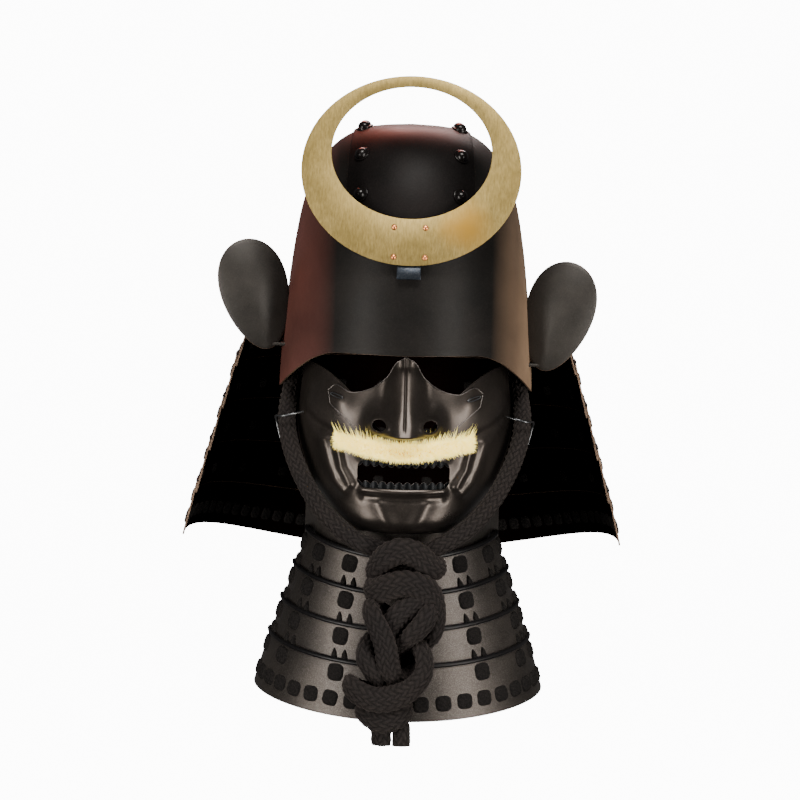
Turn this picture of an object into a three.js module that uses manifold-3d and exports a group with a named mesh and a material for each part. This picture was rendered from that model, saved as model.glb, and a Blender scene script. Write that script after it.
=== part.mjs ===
import * as THREE from 'three';
import { mergeVertices } from 'three/addons/utils/BufferGeometryUtils.js';
import Module from 'manifold-3d';

const wasm = await Module();
wasm.setup();

// Samurai helmet with face mask and throat guard, in millimetres. +Z is up and the face looks along -Y.
// The origin is the crown seat, where the top of the head meets the inside of the bowl.

// Walls and clearances
const plate = 1.5;
const maskWall = 2;
const noseWall = 1.2;
const gap = 0.3;
const faceGap = 0.6;

// Bowl
const bowlHalfWidth = 114;
const bowlHalfDepth = 128;
const bowlHeight = 240;
const bowlSides = 32;
const seamBehindCentre = 8;
const rimHeight = 186;
const browHeight = 189;
const cheekTipHeight = 233;
const cheekTipForward = 22;

// Strip over the crown and its rivets
const stripCrownHalf = 50;
const stripFrontHalf = 58;
const stripFrontEnd = 100;
const rivetRadius = 5.6;
const rivetInset = 9;

// Crest ring
const ringHalfWidth = 91.5;
const ringHalfHeight = 80;
const holeHalfWidth = 66.7;
const holeHalfHeight = 55.7;
const holeRise = 15;
const ringWall = 1.2;
const ringLean = 13;
const ringBottom = 114;
const ringStandOff = 6;
const crestRivetRadius = 2.3;
const crestRivetApart = 26;
const crestRivetRows = 25;
const holderWidth = 16;
const holderFoot = 20;
const holderDrop = 11;

// Ear plates
const earLength = 99;
const earWidth = 61;
const earDish = 9;
const earLean = 15;
const earYaw = 18;
const earForward = 32;
const earStemWall = 3;
const ears = {
  left: { side: 1, bottom: 209, standOut: 11 },
  right: { side: -1, bottom: 196, standOut: 13 },
};
const earStem = 13;
const earStemReach = 14;

// Neck guard
const neckTop = 164;
const neckSideHeight = 203;
const neckBackDrop = 54;
const neckHalfWidth = 198;
const neckHalfDepth = 190;
const neckShoulderWidth = 145;
const neckShoulderDepth = 152;
const neckShoulderDrop = 24;
const neckFirstBottom = 50;
const neckLames = 5;
const neckOverlap = 11;
const neckFrontWrap = 6;

// Face mask
const maskTop = 200;
const maskHeight = 144;
const maskHalfWidth = 95;
const maskDepth = 92;
const maskBack = 25;
const mouthHalfWidth = 39;
const mouthTop = 279;
const mouthHeight = 24;
const mouthCorner = 7;
const eyeCutRise = 20;
const noseTip = 257;
const noseRise = 27;
const noseHalfWidth = 66;
const nostrilApart = 43;
const nostrilWidth = 12;
const nostrilHeight = 10;
const pinRadius = 1.2;
const pinLength = 12;
const toothCount = 12;
const toothHeight = 6;
const moustacheHalf = 60;
const moustacheHeight = 17;
const moustacheLocks = 13;

// Throat guard
const throatTop = 356;
const throatSideHeight = 141;
const throatTopHalf = 82;
const throatBottomHalf = 130;
const throatTopDepth = 63;
const throatBottomDepth = 97;
const throatBack = 25;
const throatLames = 4;
const throatLastHeight = 48;
const throatOverlap = 9;
const throatDip = 12;
const chinShare = 0.3;
const jawShare = 0.62;
const wingShare = 0.84;
const wingOut = 11;
const wingBack = 19;
const topLameTuck = 3;
const topLameHeight = 22;

// Chin cord, hooks and knot
const cordDiameter = 15;
const hookWire = 2;
const tailLength = 13;
const lugWidth = 10;
const lugWall = 3;
const lugClear = 2.8;

const steel = new THREE.MeshStandardMaterial({ color: 0x24211f, roughness: 0.5, metalness: 0.75 });
const stripSteel = new THREE.MeshStandardMaterial({ color: 0x1c1a1a, roughness: 0.5, metalness: 0.75 });
const brass = new THREE.MeshStandardMaterial({ color: 0xa59460, roughness: 0.35, metalness: 0.9 });
const copper = new THREE.MeshStandardMaterial({ color: 0xd09070, roughness: 0.35, metalness: 0.9 });
const blueSteel = new THREE.MeshStandardMaterial({ color: 0x3d4c5c, roughness: 0.4, metalness: 0.85 });
const maskSteel = new THREE.MeshStandardMaterial({ color: 0x37312d, roughness: 0.38, metalness: 0.85 });
const wireSteel = new THREE.MeshStandardMaterial({ color: 0x55585a, roughness: 0.4, metalness: 0.9 });
const fur = new THREE.MeshStandardMaterial({ color: 0xe6d9a6, roughness: 0.95, metalness: 0 });
const braid = new THREE.MeshStandardMaterial({ color: 0x1d1b1b, roughness: 0.95, metalness: 0 });

// General shape helpers

const degrees = THREE.MathUtils.degToRad;
const lerp = THREE.MathUtils.lerp;
const clamp = THREE.MathUtils.clamp;
const smooth = THREE.MathUtils.smoothstep;
const vector = (x, y, z) => new THREE.Vector3(x, y, z);
const bell = (offset, width) => Math.exp(-((offset / width) ** 2));

// Reads one column of a table at a place, on a smooth curve through its rows.
function reader(table, key, value) {
  const curve = new THREE.CatmullRomCurve3(table.map((row) => vector(row[key], row[value], 0)));
  const points = curve.getPoints(12 * table.length);
  return (place) => {
    const next = points.findIndex((point) => point.x >= place);
    if (next === 0) return points[0].y;
    if (next < 0) return points.at(-1).y;
    const [a, b] = [points[next - 1], points[next]];
    return lerp(a.y, b.y, (place - a.x) / (b.x - a.x));
  };
}

function geometryOf(points, triangles) {
  const geometry = new THREE.BufferGeometry();
  geometry.setAttribute('position', new THREE.Float32BufferAttribute(points.flatMap((p) => [p.x, p.y, p.z]), 3));
  geometry.setIndex(triangles.flat());
  return geometry;
}

// Turns the triangles round if they face inwards.
function facingOut(points, triangles) {
  let volume = 0;
  for (const [a, b, c] of triangles) volume += points[a].dot(points[b].clone().cross(points[c]));
  return geometryOf(points, volume > 0 ? triangles : triangles.map(([a, b, c]) => [a, c, b]));
}

// A closed plate of even wall behind surface(u, v), where u runs to the right seen from outside and v runs down.
function sheet(surface, columns, rows, wall) {
  const step = 0.004;
  const face = [];
  const back = [];
  for (let j = 0; j <= rows; j++) {
    for (let i = 0; i <= columns; i++) {
      const [u, v] = [i / columns, j / rows];
      const along = surface(Math.min(u + step, 1), v).sub(surface(Math.max(u - step, 0), v));
      const down = surface(u, Math.min(v + step, 1)).sub(surface(u, Math.max(v - step, 0)));
      const point = surface(u, v);
      face.push(point);
      back.push(point.clone().addScaledVector(down.cross(along).normalize(), -wall));
    }
  }
  const count = face.length;
  const at = (i, j) => j * (columns + 1) + i;
  const triangles = [];
  const quad = (a, b, c, d) => triangles.push([a, b, c], [a, c, d]);
  for (let j = 0; j < rows; j++) {
    for (let i = 0; i < columns; i++) {
      quad(at(i, j), at(i, j + 1), at(i + 1, j + 1), at(i + 1, j));
      quad(count + at(i, j), count + at(i + 1, j), count + at(i + 1, j + 1), count + at(i, j + 1));
    }
  }
  for (let i = 0; i < columns; i++) {
    quad(at(i, 0), at(i + 1, 0), count + at(i + 1, 0), count + at(i, 0));
    quad(at(i, rows), count + at(i, rows), count + at(i + 1, rows), at(i + 1, rows));
  }
  for (let j = 0; j < rows; j++) {
    quad(at(0, j), count + at(0, j), count + at(0, j + 1), at(0, j + 1));
    quad(at(columns, j), at(columns, j + 1), count + at(columns, j + 1), count + at(columns, j));
  }
  return facingOut([...face, ...back], triangles);
}

// A closed body through rings of points, each ring with as many points, capped by a fan at both ends.
function loft(rings) {
  const sides = rings[0].length;
  const points = rings.flat();
  const triangles = [];
  for (let j = 0; j < rings.length - 1; j++) {
    for (let i = 0; i < sides; i++) {
      const [a, b] = [j * sides + i, j * sides + ((i + 1) % sides)];
      triangles.push([a, b, b + sides], [a, b + sides, a + sides]);
    }
  }
  for (const [first, turn] of [[0, false], [(rings.length - 1) * sides, true]]) {
    const ring = points.slice(first, first + sides);
    const middle = ring.reduce((sum, p) => sum.add(p), vector(0, 0, 0)).divideScalar(sides);
    const centre = points.push(middle) - 1;
    for (let i = 0; i < sides; i++) {
      const [a, b] = [first + i, first + ((i + 1) % sides)];
      triangles.push(turn ? [a, b, centre] : [b, a, centre]);
    }
  }
  return facingOut(points, triangles);
}

function solid(geometry) {
  const bare = geometry.clone();
  bare.deleteAttribute('normal');
  bare.deleteAttribute('uv');
  const merged = mergeVertices(bare, 1e-3);
  const index = merged.index.array;
  const kept = [];
  for (let i = 0; i < index.length; i += 3) {
    const [a, b, c] = index.slice(i, i + 3);
    if (a !== b && b !== c && a !== c) kept.push(a, b, c);
  }
  const mesh = { numProp: 3, vertProperties: merged.attributes.position.array, triVerts: new Uint32Array(kept) };
  return new wasm.Manifold(new wasm.Mesh(mesh));
}

function shapeOf(body) {
  const mesh = body.getMesh();
  const geometry = new THREE.BufferGeometry();
  geometry.setAttribute('position', new THREE.Float32BufferAttribute(mesh.vertProperties, 3));
  geometry.setIndex(Array.from(mesh.triVerts));
  return geometry;
}

function named(name, geometry, material) {
  const mesh = new THREE.Mesh(geometry, material);
  mesh.name = name;
  return mesh;
}

// A box between two corners.
function block(low, high) {
  const box = new THREE.BoxGeometry(high.x - low.x, high.y - low.y, high.z - low.z);
  return box.translate((low.x + high.x) / 2, (low.y + high.y) / 2, (low.z + high.z) / 2);
}

// A bar through the whole depth whose outline is given as [x, height] in the front view.
function frontCutter(outline) {
  const reach = 2 * bowlHalfDepth;
  const shape = new THREE.Shape(outline.map(([x, z]) => new THREE.Vector2(x, z)));
  const geometry = new THREE.ExtrudeGeometry(shape, { depth: 2 * reach, bevelEnabled: false });
  return geometry.rotateX(Math.PI / 2).translate(0, reach, 0);
}

// A round wire or cord through chosen points.
function wireAlong(points, diameter, sides, steps) {
  const section = new THREE.Shape();
  for (let i = 0; i < sides; i++) {
    const angle = (2 * Math.PI * i) / sides;
    const [x, y] = [Math.cos(angle) * diameter / 2, Math.sin(angle) * diameter / 2];
    if (i === 0) section.moveTo(x, y);
    else section.lineTo(x, y);
  }
  section.closePath();
  const path = new THREE.CatmullRomCurve3(points.map((p) => vector(...p)), false, 'centripetal');
  return new THREE.ExtrudeGeometry(section, { steps, bevelEnabled: false, extrudePath: path });
}

const mirrored = (points, side) => points.map(([x, y, z]) => [side * x, y, z]);

// Bowl: how far the wall stands out at each drop below the crown, as shares of the bowl's height and half width.
const bowlProfile = [
  { drop: 0, reach: 0 },
  { drop: 0.007, reach: 0.24 },
  { drop: 0.028, reach: 0.456 },
  { drop: 0.085, reach: 0.62 },
  { drop: 0.16, reach: 0.727 },
  { drop: 0.272, reach: 0.822 },
  { drop: 0.43, reach: 0.888 },
  { drop: 0.61, reach: 0.936 },
  { drop: 0.82, reach: 0.976 },
  { drop: 1, reach: 1 },
];
const reachAt = reader(bowlProfile, 'drop', 'reach');
const dropAt = reader(bowlProfile, 'reach', 'drop');
const depthShare = bowlHalfDepth / bowlHalfWidth;
const bowlWidthAt = (drop) => bowlHalfWidth * reachAt((drop + plate) / bowlHeight);
const bowlDepthAt = (drop) => bowlHalfDepth * reachAt((drop + plate) / bowlHeight);

// The bowl's outer face over a point of its plan.
function bowlSurface(x, y) {
  const reach = Math.min(Math.hypot(x / bowlHalfWidth, y / bowlHalfDepth), 1);
  return vector(x, y, plate - bowlHeight * dropAt(reach));
}

function bowlNormal(x, y) {
  const step = 0.5;
  const point = bowlSurface(x, y);
  const right = bowlSurface(x + step, y).sub(point);
  const back = bowlSurface(x, y + step).sub(point);
  return right.cross(back).normalize();
}

// A whole dome of one wall, standing clear of the bowl's outer face by a distance.
function domeLayer(clear) {
  const curve = new THREE.CatmullRomCurve3(bowlProfile.map((row) => vector(row.reach, -row.drop, 0)));
  const samples = curve.getPoints(12);
  const size = (p) => new THREE.Vector2(p.x * bowlHalfWidth, p.y * bowlHeight);
  const offsets = (distance) => samples.map((point, i) => {
    const before = size(samples[Math.max(i - 1, 0)]);
    const after = size(samples[Math.min(i + 1, samples.length - 1)]);
    const along = after.sub(before).normalize();
    const here = size(point).add(new THREE.Vector2(-along.y, along.x).multiplyScalar(distance));
    return new THREE.Vector2(i === 0 ? 0 : here.x, here.y + plate);
  });
  const outer = offsets(clear > 0 ? clear + plate : 0);
  const inner = offsets(clear > 0 ? clear : -plate);
  const profile = [...outer, ...inner.reverse()];
  const lathe = new THREE.LatheGeometry(profile, bowlSides).rotateX(Math.PI / 2);
  return facing(lathe.scale(1, depthShare, 1));
}

// A lathe's triangles, welded and facing out.
function facing(geometry) {
  const bare = geometry.clone();
  bare.deleteAttribute('normal');
  bare.deleteAttribute('uv');
  const merged = mergeVertices(bare, 1e-3);
  const points = [];
  const place = merged.attributes.position;
  for (let i = 0; i < place.count; i++) points.push(vector().fromBufferAttribute(place, i));
  const triangles = [];
  for (let i = 0; i < merged.index.count; i += 3) {
    const corner = [0, 1, 2].map((k) => merged.index.getX(i + k));
    if (new Set(corner).size === 3) triangles.push(corner);
  }
  return facingOut(points, triangles);
}

// The arched brow edge in the front view, as shares of the bowl's half width and of the rise from tips to middle.
const browArch = [
  { across: 0, rise: 1 },
  { across: 0.43, rise: 1 },
  { across: 0.57, rise: 0.97 },
  { across: 0.7, rise: 0.83 },
  { across: 0.8, rise: 0.63 },
  { across: 0.9, rise: 0.37 },
  { across: 1.02, rise: -0.05 },
];

function browOutline() {
  const height = reader(browArch, 'across', 'rise');
  const count = 14;
  const outline = [];
  for (let i = -count; i <= count; i++) {
    const across = 1.02 * i / count;
    const z = lerp(-cheekTipHeight, -browHeight, height(Math.abs(across)));
    outline.push([across * bowlHalfWidth, z]);
  }
  outline.push([2 * bowlHalfWidth, -cheekTipHeight - 3], [2 * bowlHalfWidth, -2 * bowlHeight]);
  outline.push([-2 * bowlHalfWidth, -2 * bowlHeight], [-2 * bowlHalfWidth, -cheekTipHeight - 3]);
  return outline.reverse();
}

// Cuts the lower rear corner of the front plate up from the cheek tip to the rim of the back plate.
function cheekCutter() {
  const far = 2 * bowlHalfDepth;
  const outline = [
    [-cheekTipForward, -cheekTipHeight - 6],
    [-cheekTipForward + 14, -rimHeight],
    [far, -rimHeight],
    [far, -2 * bowlHeight],
    [-cheekTipForward, -2 * bowlHeight],
  ];
  const shape = new THREE.Shape(outline.map(([y, z]) => new THREE.Vector2(y, z)));
  const geometry = new THREE.ExtrudeGeometry(shape, { depth: 4 * bowlHalfWidth, bevelEnabled: false });
  const toSide = new THREE.Matrix4().makeBasis(vector(0, 1, 0), vector(0, 0, 1), vector(1, 0, 0));
  return geometry.applyMatrix4(toSide).translate(-2 * bowlHalfWidth, 0, 0);
}

function buildBowl() {
  const far = 2 * bowlHeight;
  const dome = solid(domeLayer(0));
  const frontHalf = solid(block(vector(-far, -far, -far), vector(far, seamBehindCentre, far)));
  const backHalf = solid(block(vector(-far, seamBehindCentre + gap, -rimHeight), vector(far, far, far)));
  const front = dome.intersect(frontHalf).subtract(solid(frontCutter(browOutline()))).subtract(solid(cheekCutter()));
  return [
    named('front_plate', shapeOf(front), steel),
    named('back_plate', shapeOf(dome.intersect(backHalf)), steel),
  ];
}

// The strip's half width over the crown at a place from front to back.
const stripHalfAt = (y) => lerp(stripCrownHalf, stripFrontHalf, Math.min(Math.abs(y) / bowlHalfDepth, 1));

function buildStrip() {
  const reach = bowlHalfDepth + 20;
  const plan = new THREE.Shape();
  plan.moveTo(-stripFrontHalf, -reach);
  plan.lineTo(stripFrontHalf, -reach);
  plan.lineTo(stripHalfAt(0), 0);
  plan.lineTo(stripFrontHalf, reach);
  plan.lineTo(-stripFrontHalf, reach);
  plan.lineTo(-stripHalfAt(0), 0);
  plan.closePath();
  const prism = new THREE.ExtrudeGeometry(plan, { depth: 2 * bowlHeight, bevelEnabled: false });
  const cutter = solid(prism.translate(0, 0, -bowlHeight));
  const frontEnd = solid(block(vector(-reach, -2 * reach, -2 * bowlHeight), vector(reach, 0, -stripFrontEnd)));
  const backEnd = solid(block(vector(-reach, 0, -2 * bowlHeight), vector(reach, 2 * reach, -neckTop + gap)));
  const layer = solid(domeLayer(gap)).intersect(cutter).subtract(frontEnd).subtract(backEnd);
  return named('top_strip', shapeOf(layer), stripSteel);
}

// Rivet rows along the strip, as shares of the bowl's half depth from front to back.
const rivetRows = [-0.72, -0.56, -0.2, 0.12, 0.42, 0.61, 0.72, 0.785];

function buildBowlRivets() {
  const profile = [new THREE.Vector2(0, -2), new THREE.Vector2(rivetRadius, -2)];
  const steps = 2;
  for (let i = 0; i <= steps; i++) {
    const angle = (Math.PI / 2) * (i / steps);
    const radius = i === steps ? 0 : rivetRadius * Math.cos(angle);
    profile.push(new THREE.Vector2(radius, 0.75 * rivetRadius * Math.sin(angle) + 1));
  }
  const head = facing(new THREE.LatheGeometry(profile, 8).rotateX(Math.PI / 2));
  const clear = solid(domeLayer(0)).add(solid(domeLayer(gap)));
  const rivets = [];
  rivetRows.forEach((share, row) => {
    const y = share * bowlHalfDepth;
    for (const [side, word] of [[-1, 'right'], [1, 'left']]) {
      const x = side * (stripCrownHalf - rivetInset);
      const normal = bowlNormal(x, y);
      const place = new THREE.Matrix4().makeRotationFromQuaternion(
        new THREE.Quaternion().setFromUnitVectors(vector(0, 0, 1), normal),
      );
      place.setPosition(bowlSurface(x, y).addScaledVector(normal, plate + gap));
      const pieces = solid(head.clone().applyMatrix4(place)).subtract(clear).decompose();
      const outer = pieces.sort((a, b) => b.volume() - a.volume())[0];
      const rivet = named(`bowl_rivet_${word}_${row + 1}`, shapeOf(outer), stripSteel);
      rivet.position.copy(normal).multiplyScalar(gap);
      rivets.push(rivet);
    }
  });
  return rivets;
}

// Crest: everything is drawn in the ring's own plane and leaned back together.
function buildCrest() {
  const crest = new THREE.Group();
  const outline = new THREE.Shape();
  outline.absellipse(0, 0, ringHalfWidth, ringHalfHeight, 0, 2 * Math.PI);
  const hole = new THREE.Path();
  hole.absellipse(0, holeRise, holeHalfWidth, holeHalfHeight, 0, 2 * Math.PI);
  outline.holes.push(hole);
  const ring = new THREE.ExtrudeGeometry(outline, { depth: ringWall, bevelEnabled: false, curveSegments: 26 });
  const upright = ring.rotateX(Math.PI / 2).translate(0, 0, ringHalfHeight);
  crest.add(named('crest_ring', upright, brass));

  const bandMiddle = (ringHalfHeight + holeRise - holeHalfHeight) / 2;
  const head = new THREE.CylinderGeometry(0.7 * crestRivetRadius, crestRivetRadius, 0.9, 8);
  for (const [row, level] of [[1, 1], [2, -1]]) {
    for (const [side, word] of [[-1, 'right'], [1, 'left']]) {
      const rivet = named(`crest_rivet_${word}_${row}`, head, copper);
      rivet.rotation.x = Math.PI;
      rivet.position.set(side * crestRivetApart / 2, -ringWall - gap - 0.45, bandMiddle + level * crestRivetRows / 2);
      crest.add(rivet);
    }
  }
  crest.rotation.x = -degrees(ringLean);
  crest.position.set(0, -bowlDepthAt(ringBottom) - ringStandOff, -ringBottom);
  return crest;
}

// The holder: a tongue behind the ring's lower band and a foot that reaches back to the front plate.
function buildHolder() {
  const seat = bowlDepthAt(ringBottom) + ringStandOff;
  const lean = Math.tan(degrees(ringLean));
  const band = ringHalfHeight + holeRise - holeHalfHeight - 3;
  const rows = [-holderDrop, 0, band];
  const rings = rows.map((rise) => {
    const half = (rise < 0 ? holderFoot : holderWidth) / 2;
    const back = -seat + rise * lean + 2 * gap;
    const depth = 2;
    return [
      vector(-half, back, rise - ringBottom),
      vector(half, back, rise - ringBottom),
      vector(half, back + depth, rise - ringBottom),
      vector(-half, back + depth, rise - ringBottom),
    ];
  });
  const tongue = solid(loft(rings));
  const footTop = -ringBottom - 1;
  const nearest = bowlDepthAt(ringBottom + holderDrop);
  const foot = solid(block(
    vector(-holderWidth / 2, -seat + 1, footTop - holderDrop + 2),
    vector(holderWidth / 2, -nearest * 0.96, footTop - 2),
  ));
  const above = block(vector(-seat, -2 * seat, -stripFrontEnd - 2), vector(seat, 0, 0));
  const clear = solid(domeLayer(0)).add(solid(domeLayer(gap)).intersect(solid(above)));
  const trimmed = tongue.add(foot).subtract(clear).decompose();
  const whole = trimmed.sort((a, b) => b.volume() - a.volume())[0];
  return named('crest_holder', shapeOf(whole.translate([0, -gap, 0])), blueSteel);
}

// Ear plate: a dished egg, narrow end down, on a short stem from the bowl's side.
function buildEar(word) {
  const { side, bottom, standOut } = ears[word];
  const sides = 22;
  const rings = [1, 0.55];
  const half = earLength / 2;
  const egg = (angle, share, wall) => {
    const width = (earWidth / 2) * Math.sin(angle) * (1 + 0.2 * Math.cos(angle));
    const dish = earDish * (1 - share * share) + wall;
    return vector(share * width, -dish, half + share * half * Math.cos(angle));
  };
  const face = rings.map((share) => Array.from({ length: sides }, (_, i) => egg(2 * Math.PI * i / sides, share, plate)));
  const back = rings.map((share) => Array.from({ length: sides }, (_, i) => egg(2 * Math.PI * i / sides, share, 0)));
  const disc = loft([...face.reverse(), ...back]);
  const seat = bowlSurfaceAtHeight(earForward, bottom);
  disc.rotateZ(-degrees(earYaw)).rotateY(degrees(earLean));
  disc.translate(seat.x + standOut, -earForward, -bottom);
  const stem = block(
    vector(seat.x - 2 * plate, -earForward - plate, earStemWall - bottom),
    vector(seat.x + standOut + earStemReach, -earForward + earStem - plate, 2 * earStemWall - bottom),
  );
  const body = solid(disc).add(solid(stem)).subtract(solid(domeLayer(0)));
  const whole = body.decompose().sort((a, b) => b.volume() - a.volume())[0];
  const geometry = shapeOf(whole.translate([gap, 0, 0]));
  if (side < 0) mirror(geometry);
  return named(`ear_plate_${word}`, geometry, steel);
}

// The bowl's outer face at a height, as far forward as asked.
function bowlSurfaceAtHeight(forward, height) {
  const [width, depth] = [bowlWidthAt(height), bowlDepthAt(height)];
  return vector(width * Math.sqrt(1 - (forward / depth) ** 2), -forward, -height);
}

function mirror(geometry) {
  geometry.scale(-1, 1, 1);
  const index = Array.from(geometry.index.array);
  for (let i = 0; i < index.length; i += 3) [index[i], index[i + 1]] = [index[i + 1], index[i]];
  geometry.setIndex(index);
}

// Neck guard. Each lower lame's top edge stands outside the lame above it.
const neckFirst = [
  { down: 0, out: 0 },
  { down: 0.3, out: 0.02 },
  { down: 0.52, out: 0.5 },
  { down: 0.8, out: 0.86 },
  { down: 1, out: 1 },
];

function neckPoint(u, width, depth, drop, share) {
  const turn = degrees(lerp(-neckFrontWrap, 180 + neckFrontWrap, u));
  const behind = Math.max(Math.sin(turn), 0) ** 2;
  return vector(width * Math.cos(turn), depth * Math.sin(turn), -neckTop - drop - neckBackDrop * share ** 1.5 * behind);
}

function neckSeat(share) {
  const shoulder = neckShoulderDrop / neckSideHeight;
  const place = (share - shoulder) / (1 - shoulder);
  return [lerp(neckShoulderWidth, neckHalfWidth, place), lerp(neckShoulderDepth, neckHalfDepth, place)];
}

function buildNeckGuard() {
  const out = reader(neckFirst, 'down', 'out');
  const flange = plate + gap + 0.3;
  const first = (u, v) => {
    const drop = v * neckFirstBottom;
    const spread = out(Math.min(drop / neckShoulderDrop, 1));
    const [seatWidth, seatDepth] = neckSeat(Math.max(drop, neckShoulderDrop) / neckSideHeight);
    const width = lerp(bowlWidthAt(neckTop) + flange, seatWidth, spread);
    const depth = lerp(bowlDepthAt(neckTop) + flange, seatDepth, spread);
    return neckPoint(u, width, depth, drop, drop / neckSideHeight);
  };
  const lames = [named('neck_lame_1', sheet(first, 24, 6, plate), steel)];
  const pitch = (neckSideHeight - neckFirstBottom) / (neckLames - 1);
  const lift = plate + gap + 0.5;
  for (let k = 2; k <= neckLames; k++) {
    const bottom = neckFirstBottom + (k - 1) * pitch;
    const top = bottom - pitch - neckOverlap;
    const surface = (u, v) => {
      const drop = lerp(top, bottom, v);
      const share = drop / neckSideHeight;
      const [width, depth] = neckSeat(share);
      return neckPoint(u, width + lift * (1 - v), depth + lift * (1 - v), drop, share);
    };
    lames.push(named(`neck_lame_${k}`, sheet(surface, 24, 2, plate), steel));
  }
  return lames;
}

// Face mask: its half width, front and back at each height, as shares of the mask's named sizes.
const maskRows = [
  { down: 0, half: 0.93, front: 0.8, back: 0 },
  { down: 0.17, half: 0.965, front: 0.86, back: 0.02 },
  { down: 0.35, half: 1, front: 0.93, back: 0.04 },
  { down: 0.49, half: 0.985, front: 0.985, back: 0.06 },
  { down: 0.62, half: 0.925, front: 0.99, back: 0.16 },
  { down: 0.73, half: 0.85, front: 0.99, back: 0.27 },
  { down: 0.83, half: 0.73, front: 0.965, back: 0.39 },
  { down: 0.92, half: 0.59, front: 0.955, back: 0.52 },
  { down: 0.97, half: 0.49, front: 0.9, back: 0.6 },
  { down: 1, half: 0.42, front: 0.82, back: 0.66 },
];
const maskHalf = reader(maskRows, 'down', 'half');
const maskFront = reader(maskRows, 'down', 'front');
const maskRear = reader(maskRows, 'down', 'back');

// Raised and sunk features: a line from one place to another, in shares of the half width and the height.
const maskFeatures = [
  { fromX: 0.62, fromDown: 0.22, toX: 0.84, toDown: 0.28, width: 13, height: 5 },
  { fromX: 0.93, fromDown: 0.3, toX: 0.64, toDown: 0.43, width: 5, height: -3.5 },
  { fromX: 0.7, fromDown: 0.5, toX: 0.5, toDown: 0.73, width: 4.5, height: 6 },
  { fromX: 0.52, fromDown: 0.53, toX: 0.43, toDown: 0.72, width: 3.5, height: 4.5 },
  { fromX: 0, fromDown: 0.53, toX: 0.36, toDown: 0.53, width: 5, height: 3 },
  { fromX: 0, fromDown: 0.735, toX: 0.36, toDown: 0.73, width: 5, height: 3.5 },
  { fromX: 0, fromDown: 0.815, toX: 0.3, toDown: 0.79, width: 6, height: -3 },
  { fromX: 0.1, fromDown: 0.9, toX: 0.19, toDown: 0.88, width: 9, height: 4 },
];

function maskRelief(x, height) {
  let rise = 0;
  for (const feature of maskFeatures) {
    const from = new THREE.Vector2(feature.fromX * maskHalfWidth, feature.fromDown * maskHeight);
    const to = new THREE.Vector2(feature.toX * maskHalfWidth, feature.toDown * maskHeight);
    const place = new THREE.Vector2(Math.abs(x), height - maskTop);
    const run = to.clone().sub(from);
    const along = clamp(place.clone().sub(from).dot(run) / run.lengthSq(), 0, 1);
    const off = place.distanceTo(from.addScaledVector(run, along));
    rise += feature.height * bell(off, feature.width);
  }
  return rise;
}

// The mask's outer face in front of a point of the front view.
function maskY(x, height) {
  const down = (height - maskTop) / maskHeight;
  const half = maskHalfWidth * maskHalf(down);
  const lean = Math.sqrt(Math.max(1 - (x / half) ** 2, 0));
  const back = maskDepth * maskRear(down);
  const front = maskDepth * maskFront(down);
  return -maskBack - back - (front - back) * lean - maskRelief(x, height) * lean;
}

// A round-cornered box outline in the front view.
function roundedBox(half, top, height, corner) {
  const outline = [];
  const middle = -top - height / 2;
  const corners = [[1, 1], [-1, 1], [-1, -1], [1, -1]];
  corners.forEach(([sx, sz], k) => {
    for (let i = 0; i <= 3; i++) {
      const angle = Math.PI / 2 * (k + i / 3);
      const x = sx * (half - corner) + corner * Math.cos(angle);
      outline.push([x, middle + sz * (height / 2 - corner) + corner * Math.sin(angle)]);
    }
  });
  return outline;
}

// The upper edge of the cheeks, open in the middle behind the nose plate, from the middle outwards.
const cheekEdge = [
  { across: 0, down: 0.4 },
  { across: 0.2, down: 0.38 },
  { across: 0.37, down: 0.25 },
  { across: 0.5, down: 0.15 },
  { across: 0.69, down: 0.05 },
  { across: 0.85, down: 0.01 },
];

function buildMask() {
  const surface = (u, v) => {
    const angle = (u - 0.5) * Math.PI;
    const height = maskTop + v * maskHeight;
    const x = maskHalfWidth * maskHalf(v) * Math.sin(angle);
    return vector(x, maskY(x, height), -height);
  };
  const shell = solid(sheet(surface, 22, 16, maskWall));
  const right = cheekEdge.map((row) => [row.across * maskHalfWidth, -maskTop - row.down * maskHeight]);
  const left = right.slice(1).reverse().map(([x, z]) => [-x, z]);
  const above = [[0.85 * maskHalfWidth, eyeCutRise - maskTop], [-0.85 * maskHalfWidth, eyeCutRise - maskTop]];
  const eyes = solid(frontCutter([...left, ...right, ...above]));
  const mouth = solid(frontCutter(roundedBox(mouthHalfWidth, mouthTop, mouthHeight, mouthCorner)));
  return named('mask_shell', shapeOf(shell.subtract(eyes).subtract(mouth)), maskSteel);
}

// Nose plate outline from the middle outwards, as shares of its half width and of the mask's height.
const noseUpper = [
  { across: 0, down: -0.06 },
  { across: 0.13, down: -0.02 },
  { across: 0.23, down: 0.06 },
  { across: 0.44, down: 0.135 },
  { across: 0.7, down: 0.165 },
  { across: 0.9, down: 0.13 },
];
const noseLower = [
  { across: 1, down: 0.17 },
  { across: 0.98, down: 0.23 },
  { across: 0.88, down: 0.275 },
  { across: 0.72, down: 0.335 },
  { across: 0.62, down: 0.4 },
  { across: 0.35, down: 0.415 },
  { across: 0, down: 0.42 },
];

// How far the nose stands in front of the cheeks.
function noseRiseAt(x, height) {
  const along = clamp((height - maskTop + 10) / (noseTip - maskTop + 10), 0, 1);
  const under = 1 - smooth(height, noseTip - 1, noseTip + 5);
  const ridge = noseRise * lerp(0.3, 1, along ** 1.3) * bell(x, lerp(9, 13, along));
  const wing = 0.5 * noseRise * bell(Math.abs(x) - 0.46 * nostrilApart, 8) * bell(height - noseTip + 9, 9);
  const crease = 1.6 * bell(x, 2);
  return (ridge + wing - crease) * under;
}

const noseY = (x, height) => maskY(x, Math.max(height, maskTop)) - 1.6 * faceGap - noseWall - noseRiseAt(x, height);

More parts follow.
